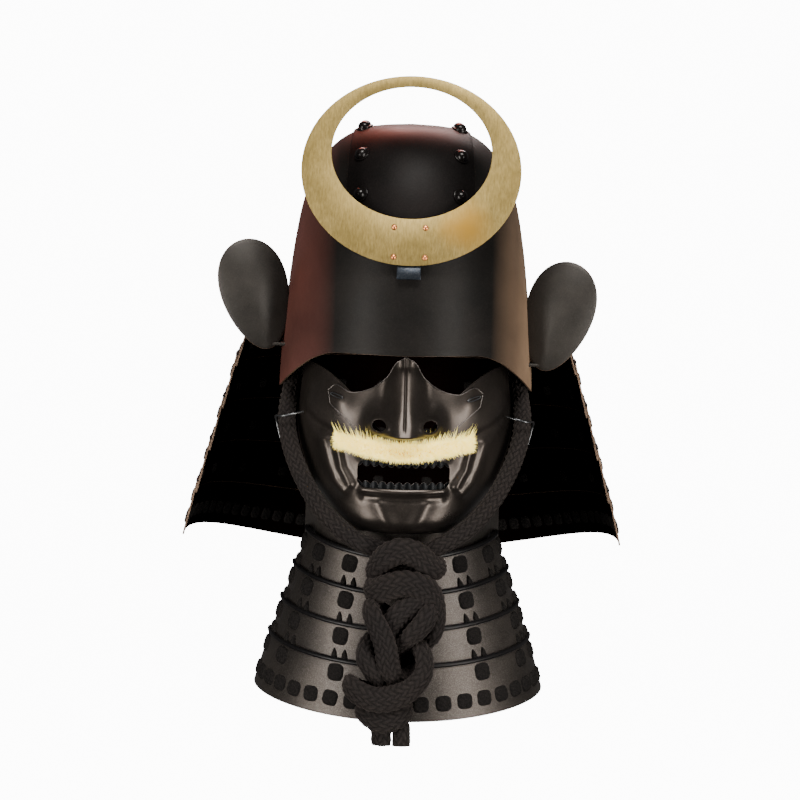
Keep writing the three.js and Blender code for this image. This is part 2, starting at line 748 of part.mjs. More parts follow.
function buildNose() {
  const top = maskTop - 0.07 * maskHeight;
  const bottom = maskTop + 0.45 * maskHeight;
  const surface = (u, v) => {
    const x = (u - 0.5) * 2.06 * noseHalfWidth;
    const height = lerp(top, bottom, v);
    return vector(x, noseY(x, height), -height);
  };
  const body = solid(sheet(surface, 20, 11, noseWall));
  const edge = [...noseUpper, ...noseLower].map((row) => [row.across * noseHalfWidth, -maskTop - row.down * maskHeight]);
  const left = edge.slice(1, -1).map(([x, z]) => [-x, z]).reverse();
  const outline = solid(frontCutter([...edge, ...left].reverse()));
  let plateBody = body.intersect(outline);
  for (const side of [-1, 1]) {
    const hole = [];
    for (let i = 0; i < 12; i++) {
      const angle = 2 * Math.PI * i / 12;
      const x = side * nostrilApart / 2 + nostrilWidth / 2 * Math.cos(angle);
      hole.push([x, -noseTip + 9 + nostrilHeight / 2 * Math.sin(angle)]);
    }
    plateBody = plateBody.subtract(solid(frontCutter(hole)));
  }
  return named('nose_plate', shapeOf(plateBody), maskSteel);
}

// A pin lies across each end of the nose plate.
function buildPins() {
  return [[-1, 'right'], [1, 'left']].map(([side, word]) => {
    const height = maskTop + 0.19 * maskHeight;
    const [inner, outer] = [0.89 * noseHalfWidth - pinLength / 2, 0.89 * noseHalfWidth + pinLength / 2];
    const lift = pinRadius + 1.5 * faceGap;
    const from = [side * inner, noseY(inner, height + 1.5) - lift, -height - 1.5];
    const to = [side * outer, noseY(outer, height - 1.5) - lift, -height + 1.5];
    return named(`nose_pin_${word}`, wireAlong([from, to], 2 * pinRadius, 8, 1), wireSteel);
  });
}

// Scalloped strip behind a lip. The tips point up from the lower lip and down from the upper one.
function buildTeeth(name, root, towards) {
  const half = mouthHalfWidth + 3;
  const surface = (u, v) => {
    const x = (u - 0.5) * 2 * half;
    const tip = Math.abs(Math.sin(u * toothCount * Math.PI)) * toothHeight * 0.5 + toothHeight * 0.5;
    const tooth = root + towards * tip;
    const base = root - towards * 6;
    const height = towards < 0 ? lerp(tooth, base, v) : lerp(base, tooth, v);
    return vector(x, maskY(x, height) + maskWall + faceGap + maskRelief(x, height) * 0.6, -height);
  };
  return named(name, sheet(surface, toothCount * 2, 1, 1), wireSteel);
}

// Moustache: fur locks fused to a backing strip over the upper lip.
function moustacheMiddle(share) {
  return mouthTop - 8 - 7 * Math.abs(share) ** 1.5;
}

function buildMoustache() {
  const front = (x, height) => maskY(x, height) - gap;
  const columns = 8;
  const rings = Array.from({ length: columns + 1 }, (_, i) => {
    const share = 2 * i / columns - 1;
    const x = share * moustacheHalf;
    const middle = moustacheMiddle(share);
    const half = moustacheHeight / 2 * (1 - 0.25 * share ** 2);
    const rest = Math.min(front(x, middle - half), front(x, middle + half), front(x, middle));
    return [
      vector(x, rest, -middle + half),
      vector(x, rest - 4, -middle + 0.7 * half),
      vector(x, rest - 4, -middle - 0.7 * half),
      vector(x, rest, -middle - half),
    ];
  });
  let body = solid(loft(rings));
  for (let i = 0; i < moustacheLocks; i++) {
    const share = 2 * (i + 0.5) / moustacheLocks - 1;
    const x = share * (moustacheHalf - 3);
    const middle = moustacheMiddle(share);
    const lock = new THREE.SphereGeometry(1, 6, 4).scale(5.6, 4, moustacheHeight * 0.52);
    lock.rotateY(degrees(-28 * share));
    const rest = front(x, middle) - 5;
    body = body.add(solid(lock.translate(x, rest, -middle - (i % 2))));
  }
  const clear = solid(maskSpace());
  return named('moustache', shapeOf(body.subtract(clear)), fur);
}

// The space that the mask's and nose plate's faces take, so that the moustache lies just in front of it.
function maskSpace() {
  const surface = (u, v) => {
    const x = (u - 0.5) * 2 * (moustacheHalf + 9);
    const height = lerp(noseTip - 16, mouthTop + 12, v);
    const face = height < noseTip + 6.5 ? Math.min(noseY(x, height), maskY(x, height)) - gap : maskY(x, height);
    return vector(x, face - 1.2 * faceGap, -height);
  };
  return sheet(surface, 20, 9, 20);
}

// Cord hooks: bent wires that stand off the cheeks and hold the cord.
const hookRoute = [
  [88, -66.5, -246],
  [97, -72, -247.5],
  [106, -71, -249.5],
  [112, -62, -251],
  [111.5, -57, -256],
  [108, -57, -271],
];

// Throat guard
function throatSeat(share) {
  return [lerp(throatTopHalf, throatBottomHalf, share), lerp(throatTopDepth, throatBottomDepth, share)];
}

function throatPoint(u, width, depth, drop) {
  const angle = (u - 0.5) * Math.PI;
  const dip = throatDip * (1 - 0.4 * drop / throatSideHeight) * Math.cos(angle) ** 2;
  return vector(width * Math.sin(angle), -throatBack - depth * Math.cos(angle), -throatTop - drop - dip);
}

function buildThroatGuard() {
  // The top lame hangs inside the mask's lower edge: first round the chin, then up along the jaw.
  const inside = maskWall + faceGap;
  const topLame = (u, v) => {
    const side = Math.sign(u - 0.5);
    const place = Math.abs(2 * u - 1);
    const turn = (Math.PI / 2) * Math.min(place / chinShare, 1);
    const down = place < chinShare ? 1 : lerp(1, jawShare, (place - chinShare) / (1 - chinShare));
    const back = maskDepth * maskRear(down);
    const reach = maskDepth * maskFront(down) - back - inside;
    const width = maskHalfWidth * maskHalf(down) - inside;
    const rim = vector(side * width * Math.sin(turn), -maskBack - back - reach * Math.cos(turn),
      -maskTop - down * maskHeight + topLameTuck);
    const round = (Math.PI / 2) * Math.min(place / wingShare, 1);
    const wing = Math.max(place - wingShare, 0) / (1 - wingShare);
    const end = throatPoint(0.5, 0, 0, topLameHeight);
    end.x = side * ((throatTopHalf - 5) * Math.sin(round) + wingOut * wing);
    end.y = -throatBack - (throatTopDepth - 7) * Math.cos(round) + wingBack * wing;
    return rim.lerp(end, v);
  };
  const lames = [named('throat_lame_top', sheet(topLame, 18, 2, plate), steel)];
  const pitch = (throatSideHeight - throatLastHeight) / (throatLames - 1);
  const lift = plate + gap + 0.5;
  for (let k = 1; k <= throatLames; k++) {
    const top = (k - 1) * pitch;
    const bottom = k < throatLames ? top + pitch + throatOverlap : throatSideHeight;
    const surface = (u, v) => {
      const drop = lerp(top, bottom, v);
      const [width, depth] = throatSeat(drop / throatSideHeight);
      return throatPoint(u, width + lift * (1 - v), depth + lift * (1 - v), drop);
    };
    lames.push(named(`throat_lame_${k}`, sheet(surface, 18, 2, plate), steel));
  }
  return lames;
}

// Chin cord: the left run from the loop inside the bowl, past the hook and under the chin into the knot.
const cordRun = [
  [96, -16, -199],
  [98.5, -20, -214],
  [101, -31, -231],
  [103, -47, -248],
  [101.5, -61, -263],
  [96.5, -72, -280],
  [87.5, -83, -299],
  [75, -95, -318],
  [60, -105, -334],
  [43, -111, -346],
  [33, -114, -351],
];

// Knot: the outer shape of its turns, level by level, with the middle to the wearer's right of the centre line.
const knotRows = [
  { z: -343, x: 0, half: 20, y: -112, depth: 9 },
  { z: -349, x: -1, half: 28, y: -114, depth: 13 },
  { z: -360, x: -1, half: 30, y: -115, depth: 19 },
  { z: -374, x: -2, half: 34, y: -118, depth: 21 },
  { z: -392, x: -2, half: 37, y: -122, depth: 22 },
  { z: -408, x: -4, half: 38, y: -126, depth: 22 },
  { z: -426, x: -8, half: 38, y: -131, depth: 22 },
  { z: -444, x: -13, half: 37, y: -136, depth: 21 },
  { z: -462, x: -16, half: 38, y: -141, depth: 20 },
  { z: -480, x: -16, half: 37, y: -145, depth: 20 },
  { z: -495, x: -16, half: 29, y: -146, depth: 17 },
  { z: -503, x: -15, half: 20, y: -146, depth: 12 },
];

function buildKnot() {
  const sides = 12;
  const rings = knotRows.map((row) => Array.from({ length: sides }, (_, i) => {
    const angle = 2 * Math.PI * i / sides;
    return vector(row.x + row.half * Math.cos(angle), row.y + row.depth * Math.sin(angle), row.z);
  }));
  return named('cord_knot', loft(rings), braid);
}

// The hidden lug inside the bowl that each end of the cord is tied to.
function buildLug(side, word) {
  const [x, y, z] = cordRun[0];
  const lug = block(
    vector(x - lugWidth / 2, y - lugWidth / 2, z + lugClear),
    vector(bowlHalfWidth, y + lugWidth / 2, z + lugClear + lugWall),
  );
  const bowl = solid(domeLayer(0));
  const inner = solid(lug).subtract(bowl.add(bowl.translate([gap * -1.5, 0, 0])));
  const inside = inner.decompose().sort((a, b) => a.boundingBox().min[0] - b.boundingBox().min[0])[0];
  const geometry = shapeOf(inside);
  if (side < 0) mirror(geometry);
  return named(`cord_lug_${word}`, geometry, wireSteel);
}

function buildCord() {
  const pieces = [];
  for (const [side, word] of [[-1, 'right'], [1, 'left']]) {
    const run = wireAlong(mirrored(cordRun, side), cordDiameter, 8, 14);
    pieces.push(named(`cord_${word}`, run, braid), buildLug(side, word));
    const knotEnd = knotRows.at(-1);
    const x = knotEnd.x + side * (cordDiameter / 2 + gap / 2);
    const route = [[x, knotEnd.y, knotEnd.z - gap], [x, knotEnd.y, knotEnd.z - tailLength]];
    pieces.push(named(`cord_tail_${word}`, wireAlong(route, cordDiameter, 8, 1), braid));
    pieces.push(named(`cord_hook_${word}`, wireAlong(mirrored(hookRoute, side), hookWire, 6, 8), wireSteel));
  }
  return pieces;
}

const helmet = new THREE.Group();
helmet.add(...buildBowl(), buildStrip(), ...buildBowlRivets(), buildCrest(), buildHolder());
helmet.add(buildEar('left'), buildEar('right'), ...buildNeckGuard());
helmet.add(buildMask(), buildNose(), ...buildPins(), buildMoustache());
helmet.add(buildTeeth('teeth_upper', mouthTop, 1), buildTeeth('teeth_lower', mouthTop + mouthHeight, -1));
helmet.add(...buildThroatGuard(), buildKnot(), ...buildCord());

export default helmet;
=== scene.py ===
import math

import bmesh
import bpy
import numpy as np
from mathutils import Matrix, Vector


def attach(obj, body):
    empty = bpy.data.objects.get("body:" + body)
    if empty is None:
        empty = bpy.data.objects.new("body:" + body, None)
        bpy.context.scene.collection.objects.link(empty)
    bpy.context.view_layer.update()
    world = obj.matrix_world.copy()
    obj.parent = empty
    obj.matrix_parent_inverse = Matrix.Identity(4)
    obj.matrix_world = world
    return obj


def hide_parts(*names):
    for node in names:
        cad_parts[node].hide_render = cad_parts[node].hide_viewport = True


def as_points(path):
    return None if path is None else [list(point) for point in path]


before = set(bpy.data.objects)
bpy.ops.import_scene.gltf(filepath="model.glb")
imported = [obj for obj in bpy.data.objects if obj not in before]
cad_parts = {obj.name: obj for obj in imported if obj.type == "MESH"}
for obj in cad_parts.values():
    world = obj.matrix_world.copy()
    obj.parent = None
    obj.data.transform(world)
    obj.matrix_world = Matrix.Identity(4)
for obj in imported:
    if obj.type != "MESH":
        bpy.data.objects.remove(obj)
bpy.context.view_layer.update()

# Camera. It stands 1.7 m off, a little above the helmet, with the view that the photograph has.
camera_data = bpy.data.cameras.new("camera")
camera_data.lens = 85
camera_data.sensor_width = 36
camera = bpy.data.objects.new("camera", camera_data)
bpy.context.scene.collection.objects.link(camera)
look_at = Vector((-0.0045, 0, -0.243))
elevation = math.radians(8)
camera_distance = 1.7
camera_roll = math.radians(1.5)
camera.location = look_at + camera_distance * Vector((0, -math.cos(elevation), math.sin(elevation)))
camera_turn = (look_at - camera.location).to_track_quat("-Z", "Y")
camera.rotation_euler = (camera_turn @ Matrix.Rotation(camera_roll, 3, "Z").to_quaternion()).to_euler()
bpy.context.scene.camera = camera

# Studio. A white sweep of paper below and behind, a soft box above, two on each side of the camera for the
# pairs of light bands on the steel, one behind, and a weak red one over the back of the crown.


def deselect_all():
    if bpy.context.mode != "OBJECT":
        bpy.ops.object.mode_set(mode="OBJECT")
    bpy.ops.object.select_all(action="DESELECT")


deselect_all()
bpy.ops.mesh.primitive_plane_add(size=8, location=(0, 0.4, -1.3))
paper = bpy.context.active_object
paper.name = "paper_sweep"
bpy.ops.object.mode_set(mode="EDIT")
bpy.ops.mesh.select_all(action="DESELECT")
bpy.ops.object.mode_set(mode="OBJECT")
for edge in paper.data.edges:
    edge.select = all(paper.data.vertices[k].co.y > 0 for k in edge.vertices)
bpy.ops.object.mode_set(mode="EDIT")
bpy.ops.mesh.select_mode(type="EDGE")
bpy.ops.mesh.extrude_region_move(TRANSFORM_OT_translate={"value": (0, 0, 4)})
bpy.ops.object.mode_set(mode="OBJECT")
bend = paper.modifiers.new("bend", "BEVEL")
bend.width = 1.2
bend.segments = 24
bend.limit_method = "ANGLE"
bpy.ops.object.modifier_apply(modifier="bend")
bpy.ops.object.shade_smooth()
paper_finish = bpy.data.materials.new("white_paper")
paper_finish.use_nodes = True
paper_shader = paper_finish.node_tree.nodes["Principled BSDF"]
paper_shader.inputs["Base Color"].default_value = (0.9, 0.9, 0.9, 1)
paper_shader.inputs["Roughness"].default_value = 0.9
paper_shader.inputs["Emission Color"].default_value = (1, 1, 1, 1)
paper_shader.inputs["Emission Strength"].default_value = 12
paper.visible_glossy = False
paper.visible_diffuse = False
paper.data.materials.append(paper_finish)


def soft_box(name, place, towards, size, power, colour, spread=180):
    data = bpy.data.lights.new(name, "AREA")
    data.shape = "RECTANGLE"
    data.size, data.size_y = size
    data.energy = power
    data.color = colour
    data.spread = math.radians(spread)
    lamp = bpy.data.objects.new(name, data)
    bpy.context.scene.collection.objects.link(lamp)
    lamp.location = place
    lamp.rotation_euler = (Vector(towards) - Vector(place)).to_track_quat("-Z", "Y").to_euler()


soft_box("top_box", (0.15, -1.2, 1.5), (0, 0, -0.2), (1.1, 0.6), 70, (1, 0.96, 0.91))
for side, word in ((-1, "right"), (1, "left")):
    soft_box(
        f"front_box_{word}", (side * 1.25, -1.35, -0.25), (0, 0, -0.33), (0.5, 0.9), 34, (1, 0.96, 0.90)
    )
    soft_box(
        f"low_box_{word}", (side * 0.95, -1.05, -0.9), (0, -0.1, -0.33), (0.4, 0.4), 12, (1, 0.95, 0.88)
    )
soft_box("back_box", (0.3, 2.0, 1.4), (0, 0, -0.2), (1.2, 0.8), 26, (1, 0.97, 0.94))
soft_box("crown_box", (-0.05, 1.0, 0.9), (0, 0, 0), (1.0, 0.5), 1.6, (1, 0.20, 0.12), 50)
world = bpy.data.worlds.new("studio")
world.use_nodes = True
world.node_tree.nodes["Background"].inputs["Color"].default_value = (1, 0.97, 0.95, 1)
world.node_tree.nodes["Background"].inputs["Strength"].default_value = 0.13
bpy.context.scene.world = world

# Chin cord. One braided cotton cord, 15 mm thick, is tied to a lug inside each side of the bowl.
# Both runs pass a wire hook, go under the chin and are tied together in one thick knot with two tails.


def curve_points(rows, steps):
    """Points along a smooth curve through rows, the same curve that the CAD solids follow."""
    rows = [np.array(row, float) for row in rows]
    padded = [2 * rows[0] - rows[1], *rows, 2 * rows[-1] - rows[-2]]
    points = []
    for k in range(1, len(padded) - 2):
        a, b, c, d = padded[k - 1 : k + 3]
        ab, bc, cd = (
            max(float(np.linalg.norm(q[:3] - p[:3])), 1e-9) ** 0.5 for p, q in ((a, b), (b, c), (c, d))
        )
        first = ((b - a) / ab - (c - a) / (ab + bc) + (c - b) / bc) * bc
        last = ((c - b) / bc - (d - b) / (bc + cd) + (d - c) / cd) * bc
        for i in range(steps):
            t = i / steps
            points.append(
                b + first * t + (3 * (c - b) - 2 * first - last) * t**2 + (
                    2 * (b - c) + first + last
                ) * t**3
            )
    return np.array([*points, rows[-1]])


def evenly(points, step):
    """The same line with its points a fixed distance apart."""
    lengths = np.concatenate([[0], np.cumsum(np.linalg.norm(np.diff(points[:, :3], axis=0), axis=1))])
    places = np.linspace(0, lengths[-1], int(lengths[-1] / step) + 1)
    return np.stack([np.interp(places, lengths, points[:, k]) for k in range(points.shape[1])], axis=1)


cord_half = 7.5
cord_flat_wide = 11
cord_flat_thick = 6.6
# Each row is a place in millimetres and how far the knot presses the cord flat there.
cheek_run = [
    (96, -16, -199, 0),
    (98.5, -20, -214, 0),
    (101, -31, -231, 0),
    (103, -47, -248, 0),
    (101.5, -61, -263, 0),
    (96.5, -72, -280, 0),
    (87.5, -83, -299, 0),
    (75, -95, -318, 0),
    (60, -105, -334, 0),
    (43, -111, -346, 0),
    (33, -114, -351, 0),
]
right_knot = [
    (-17, -110, -357, 0),
    (5, -107, -362, 0),
    (22.5, -108, -366, 0.2),
    (32, -116, -369, 0.6),
    (25, -127, -366, 1),
    (13, -130, -356, 1),
    (0.5, -131, -352.5, 1),
    (-10, -129.5, -356.5, 1),
    (-18.5, -124, -364.5, 1),
    (-23, -114, -375, 0.6),
    (-18, -105, -382, 0.2),
    (-2, -103, -387, 0),
    (16, -106, -391, 0),
    (28, -115, -397, 0),
    (24, -129, -393, 0.4),
    (15, -138, -395.5, 0.7),
    (0.5, -142, -404, 0.7),
    (-7.5, -141, -415, 0.5),
    (-13, -132, -434, 0),
    (-13, -127, -446, 0),
    (1, -134, -434, 0.5),
    (13, -146, -419, 0.7),
    (22, -145, -407.5, 0.7),
    (25, -134, -401, 0.4),
    (17.5, -122, -410, 0),
    (-1, -119, -420, 0),
    (-19.5, -123, -429, 0),
    (-27, -133, -434, 0.2),
    (-28, -143, -443, 0.4),
    (-21.5, -147, -452, 0.4),
    (-17.5, -144, -463, 0),
    (-17.5, -139, -476, 0),
    (-18.5, -141, -490, 0),
    (-13.5, -145, -503, 0.45),
    (-13, -146, -516, 0.45),
]
left_knot = [
    (21, -117, -358, 0),
    (8.5, -116, -367, 0),
    (-10, -113, -375, 0),
    (-22, -116, -384, 0.4),
    (-24, -126, -388, 0.8),
    (-18, -134, -386, 1),
    (-8, -139, -381, 1),
    (4, -141, -378, 1),
    (16, -140, -380.5, 1),
    (25, -136, -387, 1),
    (30.5, -132, -398, 0.8),
    (31.5, -131, -412, 0.5),
    (29, -129, -423, 0.3),
    (22, -122, -432, 0),
    (10, -117, -432, 0),
    (-2, -119, -422, 0),
    (-13, -125, -408, 0),
    (-24, -134, -401, 0.2),
    (-22.5, -144.5, -406, 0.5),
    (-16.5, -149.5, -417, 0.6),
    (-11.5, -152, -429, 0.6),
    (-8.5, -151, -446, 0.6),
    (-3, -145, -458, 0.2),
    (3, -135, -465, 0),
    (8, -127, -457, 0),
    (10.5, -127, -445, 0),
    (14.5, -134, -434, 0.1),
    (20.5, -144, -437, 0.4),
    (21, -152, -452, 0.6),
    (11.5, -156, -464, 0.8),
    (-2.5, -159, -471, 1),
    (-18.5, -160, -473, 1),
    (-32.5, -156, -469, 1),
    (-40, -146, -466, 0.8),
    (-36.5, -134, -471, 0.4),
    (-22, -127, -477, 0),
    (-4.5, -128, -482, 0),
    (6, -137, -486, 0.4),
    (4.5, -148, -488, 0.8),
    (-5, -154, -492, 0.8),
    (-17, -154, -492.5, 0.8),
    (-27.5, -147, -488, 0.6),
    (-27.5, -137, -490, 0),
    (-15, -133, -493, 0),
    (-4, -135, -494, 0),
    (3, -140, -500, 0.3),
    (4, -144, -508, 0.45),
    (4, -146, -517, 0.45),
]


def braided_tube(name, rows, sides, step):
    """A round cord along rows whose plaits stand up from the surface, with its own UV map along it."""
    line = evenly(curve_points(rows, 24), step)
    centres, flats = line[:, :3], line[:, 3]
    tangents = np.gradient(centres, axis=0)
    tangents /= np.linalg.norm(tangents, axis=1)[:, None]
    up = np.cross(tangents[0], (0, 0, 1))
    up /= np.linalg.norm(up)
    ups = []
    for tangent in tangents:
        up = up - tangent * up.dot(tangent)
        up /= np.linalg.norm(up)
        ups.append(up)
    ups = np.array(ups)
    sideways = np.cross(tangents, ups)
    core = np.stack([np.interp(-centres[:, 2], (343, 392, 444, 516), (3, 4, -9, -8)),
                     np.interp(-centres[:, 2], (343, 392, 444, 516), (-112, -121, -134, -144))], axis=1)
    outwards = np.stack(
        [centres[:, 0] - core[:, 0], centres[:, 1] - core[:, 1] - 4, 0 * core[:, 0]], axis=1
    )
    lie = np.unwrap(2 * np.arctan2((outwards * sideways).sum(1), (outwards * ups).sum(1))) / 2
    kernel = np.ones(9) / 9
    lie = np.convolve(np.pad(lie, 4, mode="edge"), kernel, mode="valid")
    angles = np.linspace(0, 2 * np.pi, sides, endpoint=False)
    wide = cord_half + (cord_flat_wide - cord_half) * flats
    thick = cord_half + (cord_flat_thick - cord_half) * flats
    plaits = 12
    pitch = 6.6
    along = np.arange(len(line))[:, None] * step / pitch
    around = plaits * angles[None, :] / (2 * np.pi)
    one, other = around + along, around - along
    crossing = (np.floor(one) + np.floor(other)) % 4
    on_top = crossing < 2
    across = np.where(on_top, one % 1, other % 1)
    lengthwise = (np.where(on_top, other % 1, one % 1) + crossing % 2) / 2
    relief = np.sin(np.pi * across) ** 0.7 * (0.3 + 0.7 * np.sin(np.pi * lengthwise) ** 0.6)
    turn = angles[None, :] - lie[:, None]
    radius = (wide * thick)[:, None] / np.sqrt(
        (wide[:, None] * np.cos(turn)) ** 2 + (thick[:, None] * np.sin(turn)) ** 2
    )
    radius = radius + 1.6 * (relief - 0.7)
    points = centres[:, None, :] + radius[:, :, None] * (
        np.cos(angles)[None, :, None] * ups[:, None, :] + np.sin(angles)[None, :, None] * sideways[
            :, None, :
        ]
    )
    count = len(line)
    mesh = bpy.data.meshes.new(name)
    builder = bmesh.new()
    uv_layer = builder.loops.layers.uv.new("along")
    groove = builder.verts.layers.float.new("relief")
    rings = []
    for j in range(count):
        ring = []
        for i in range(sides):
            point = builder.verts.new(points[j, i] / 1000)
            point[groove] = relief[j, i]
            ring.append(point)
        rings.append(ring)
    for j in range(count - 1):
        for i in range(sides):
            k = (i + 1) % sides
            face = builder.faces.new((rings[j][i], rings[j][k], rings[j + 1][k], rings[j + 1][i]))
            for loop, (a, b) in zip(face.loops, ((i, j), (i + 1, j), (i + 1, j + 1), (i, j + 1))):
                loop[uv_layer].uv = (a / sides, b * step / pitch)
    for ring, centre in ((rings[0], centres[0]), (rings[-1], centres[-1])):
        middle = builder.verts.new(centre / 1000)
        for i in range(sides):
            builder.faces.new((ring[i], ring[(i + 1) % sides], middle))
    bmesh.ops.recalc_face_normals(builder, faces=builder.faces)
    builder.to_mesh(mesh)
    builder.free()
    mesh.shade_smooth()
    piece = bpy.data.objects.new(name, mesh)
    bpy.context.scene.collection.objects.link(piece)
    return piece, centres / 1000


def new_finish(name, colour, metallic, roughness):
    """A material whose shader is ready for its colour, grain and bump."""
    finish = bpy.data.materials.new(name)
    finish.use_nodes = True
    shader = finish.node_tree.nodes["Principled BSDF"]
    shader.inputs["Base Color"].default_value = (*colour, 1)
    shader.inputs["Metallic"].default_value = metallic
    shader.inputs["Roughness"].default_value = roughness
    return finish, finish.node_tree, shader


def add_node(tree, kind, **inputs):
    node = tree.nodes.new(kind)
    for name, value in inputs.items():
        socket = node.inputs[name.replace("_", " ")]
        if isinstance(value, bpy.types.NodeSocket):
            tree.links.new(value, socket)
        else:
            socket.default_value = value
    return node


def colour_ramp(tree, factor, stops):
    ramp = add_node(tree, "ShaderNodeValToRGB")
    tree.links.new(factor, ramp.inputs["Fac"])
    line = ramp.color_ramp
    while len(line.elements) < len(stops):
        line.elements.new(0.5)
    for element, (place, colour) in zip(line.elements, stops):
        element.position = place
        element.color = (*colour, 1)
    return ramp.outputs["Color"]


cord_finish, tree, shader = new_finish("charcoal_braid", (0.02, 0.018, 0.017), 0, 0.88)
shader.inputs["Specular IOR Level"].default_value = 0.1
shader.inputs["Sheen Weight"].default_value = 0.05
shader.inputs["Sheen Roughness"].default_value = 0.6
shader.inputs["Sheen Tint"].default_value = (0.75, 0.62, 0.55, 1)
uv_map = add_node(tree, "ShaderNodeUVMap")
uv_map.uv_map = "along"
relief_value = add_node(tree, "ShaderNodeAttribute")
relief_value.attribute_name = "relief"
stretch = add_node(
    tree, "ShaderNodeMapping", Vector=uv_map.outputs["UV"], Rotation=(0, 0, 0.6), Scale=(16, 5, 1)
)
fibres = add_node(
    tree, "ShaderNodeTexNoise", Vector=stretch.outputs["Vector"], Scale=6, Detail=6, Roughness=0.7
)
place_map = add_node(tree, "ShaderNodeTexCoord")
patches = add_node(tree, "ShaderNodeTexNoise", Vector=place_map.outputs["Object"], Scale=18, Detail=3)
mixed = add_node(tree, "ShaderNodeMix")
mixed.data_type = "RGBA"
tree.links.new(patches.outputs["Fac"], mixed.inputs[0])
mixed.inputs[6].default_value = (0.0045, 0.0042, 0.0048, 1)
mixed.inputs[7].default_value = (0.0125, 0.0098, 0.0088, 1)
# The plait relief darkens the grooves as painted shade and lightens the plait tops as a painted highlight.
shade = add_node(tree, "ShaderNodeMath")
shade.operation = "MULTIPLY"
tree.links.new(relief_value.outputs["Fac"], shade.inputs[0])
tree.links.new(fibres.outputs["Fac"], shade.inputs[1])
plait_painted_shading = colour_ramp(
    tree, shade.outputs[0], [(0.02, (0.12, 0.12, 0.12)), (0.45, (1, 1, 1)), (0.75, (2.2, 2.1, 2.0))]
)
final = add_node(tree, "ShaderNodeMix")
final.data_type = "RGBA"
final.blend_type = "MULTIPLY"
final.inputs[0].default_value = 1
tree.links.new(mixed.outputs[2], final.inputs[6])
tree.links.new(plait_painted_shading, final.inputs[7])
tree.links.new(final.outputs[2], shader.inputs["Base Color"])
bump = add_node(tree, "ShaderNodeBump", Strength=0.7, Distance=0.0006, Height=fibres.outputs["Fac"])
tree.links.new(bump.outputs["Normal"], shader.inputs["Normal"])

for word, side, knot, length, ends in (
    ("right", -1, right_knot, 0.75, ("cord_right", "cord_tail_right")),
    ("left", 1, left_knot, 0.86, ("cord_left", "cord_tail_left", "cord_knot")),
):
    rows = [(side * x, y, z, flat) for x, y, z, flat in cheek_run] + knot
    piece, centres = braided_tube(f"chin_cord_{word}", rows, 72, 0.75)
    piece.data.materials.append(cord_finish)
    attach(piece, "root")
    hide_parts(*ends)
    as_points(centres[::4])

# Bowl. Two blackened steel halves hammered over a form meet in a butt seam behind the ears.
# The front one is drawn down into a deep brow with an arched edge and a pointed tip by each cheek.
plate = 0.0015
bowl_half_width = 0.114
bowl_half_depth = 0.128
bowl_height = 0.240
rim_drop = 0.1875
seam_behind = 0.008
tip_forward = 0.020
rim_forward = 0.008


def read_table(rows):
    """Reads a value at a place on the smooth curve through a table's rows."""
    line = curve_points([(place, value, 0) for place, value in rows], 30)
    return lambda place: np.interp(place, line[:, 0], line[:, 1])


bowl_profile = [
    (0, 0),
    (0.007, 0.24),
    (0.028, 0.456),
    (0.085, 0.62),
    (0.16, 0.727),
    (0.272, 0.822),
    (0.43, 0.888),
    (0.61, 0.936),
    (0.82, 0.976),
    (1, 1),
]
reach_at = read_table(bowl_profile)
profile_line = curve_points([(drop, reach, 0) for drop, reach in bowl_profile], 30)
profile_run = np.concatenate(
    [
        [0],
        np.cumsum(
            np.hypot(
                np.diff(profile_line[:, 0]) * bowl_height, np.diff(profile_line[:, 1]) * bowl_half_width
            )
        ),
    ]
)
brow_rise = read_table(
    [(0, 1), (0.43, 1), (0.57, 0.97), (0.7, 0.83), (0.8, 0.63), (0.9, 0.37), (1.02, -0.05)]
)


def drop_at(reach):
    return np.interp(reach, profile_line[:, 1], profile_line[:, 0])


def bowl_bottom(angle):
    """How far the bowl's edge is below the crown at an angle from the front, as a share of its height."""
    forward = math.cos(angle) * bowl_half_depth
    if forward < rim_forward:
        return rim_drop / bowl_height
    reach = 0.95
    for _ in range(8):
        across = min(abs(math.sin(angle)) * reach, 1.02)
        height = 0.233 + (0.189 - 0.233) * brow_rise(across)
        reach = reach_at((height + plate) / bowl_height)
    tip = (height + plate) / bowl_height
    if forward < tip_forward:
        share = (forward - rim_forward) / (tip_forward - rim_forward)
        return rim_drop / bowl_height + (tip - rim_drop / bowl_height) * share
    return tip


front_angle = math.acos(tip_forward / bowl_half_depth)
rim_angle = math.acos(rim_forward / bowl_half_depth)
half_turn = [front_angle * i / 46 for i in range(46)]
half_turn += [front_angle + (rim_angle - front_angle) * i / 3 for i in range(3)]
half_turn += [rim_angle + (math.pi - rim_angle) * i / 32 for i in range(33)]
turn_angles = [-angle for angle in reversed(half_turn[1:])] + half_turn


def bowl_place(angle, down, bottom):
    """A point of the bowl's outer face, where down runs along the profile from crown to bottom."""
    end = np.interp(bottom, profile_line[:, 0], profile_run)
    reach = np.interp(down * end, profile_run, profile_line[:, 1])
    drop = np.interp(down * end, profile_run, profile_line[:, 0])
    return Vector(
        (
            bowl_half_width * reach * math.sin(angle),
            -bowl_half_depth * reach * math.cos(angle),
            plate - bowl_height * drop,
        )
    )


def laid_grid(name, across, down, place):
    """A grid whose points are moved to place(i, j), with i to the right seen from outside and j down."""
    deselect_all()
    bpy.ops.mesh.primitive_grid_add(x_subdivisions=across, y_subdivisions=down, size=1)
    piece = bpy.context.active_object
    piece.name = name
    piece.data.name = name
    for point in piece.data.vertices:
        point.co = place(round((point.co.x + 0.5) * across), round((0.5 - point.co.y) * down))
    return piece


def edit(piece):
    """Goes into edit mode on one piece with nothing in it selected."""
    deselect_all()
    bpy.context.view_layer.objects.active = piece
    piece.select_set(True)
    bpy.ops.object.mode_set(mode="EDIT")
    bpy.ops.mesh.select_mode(type="VERT")
    bpy.ops.mesh.select_all(action="DESELECT")


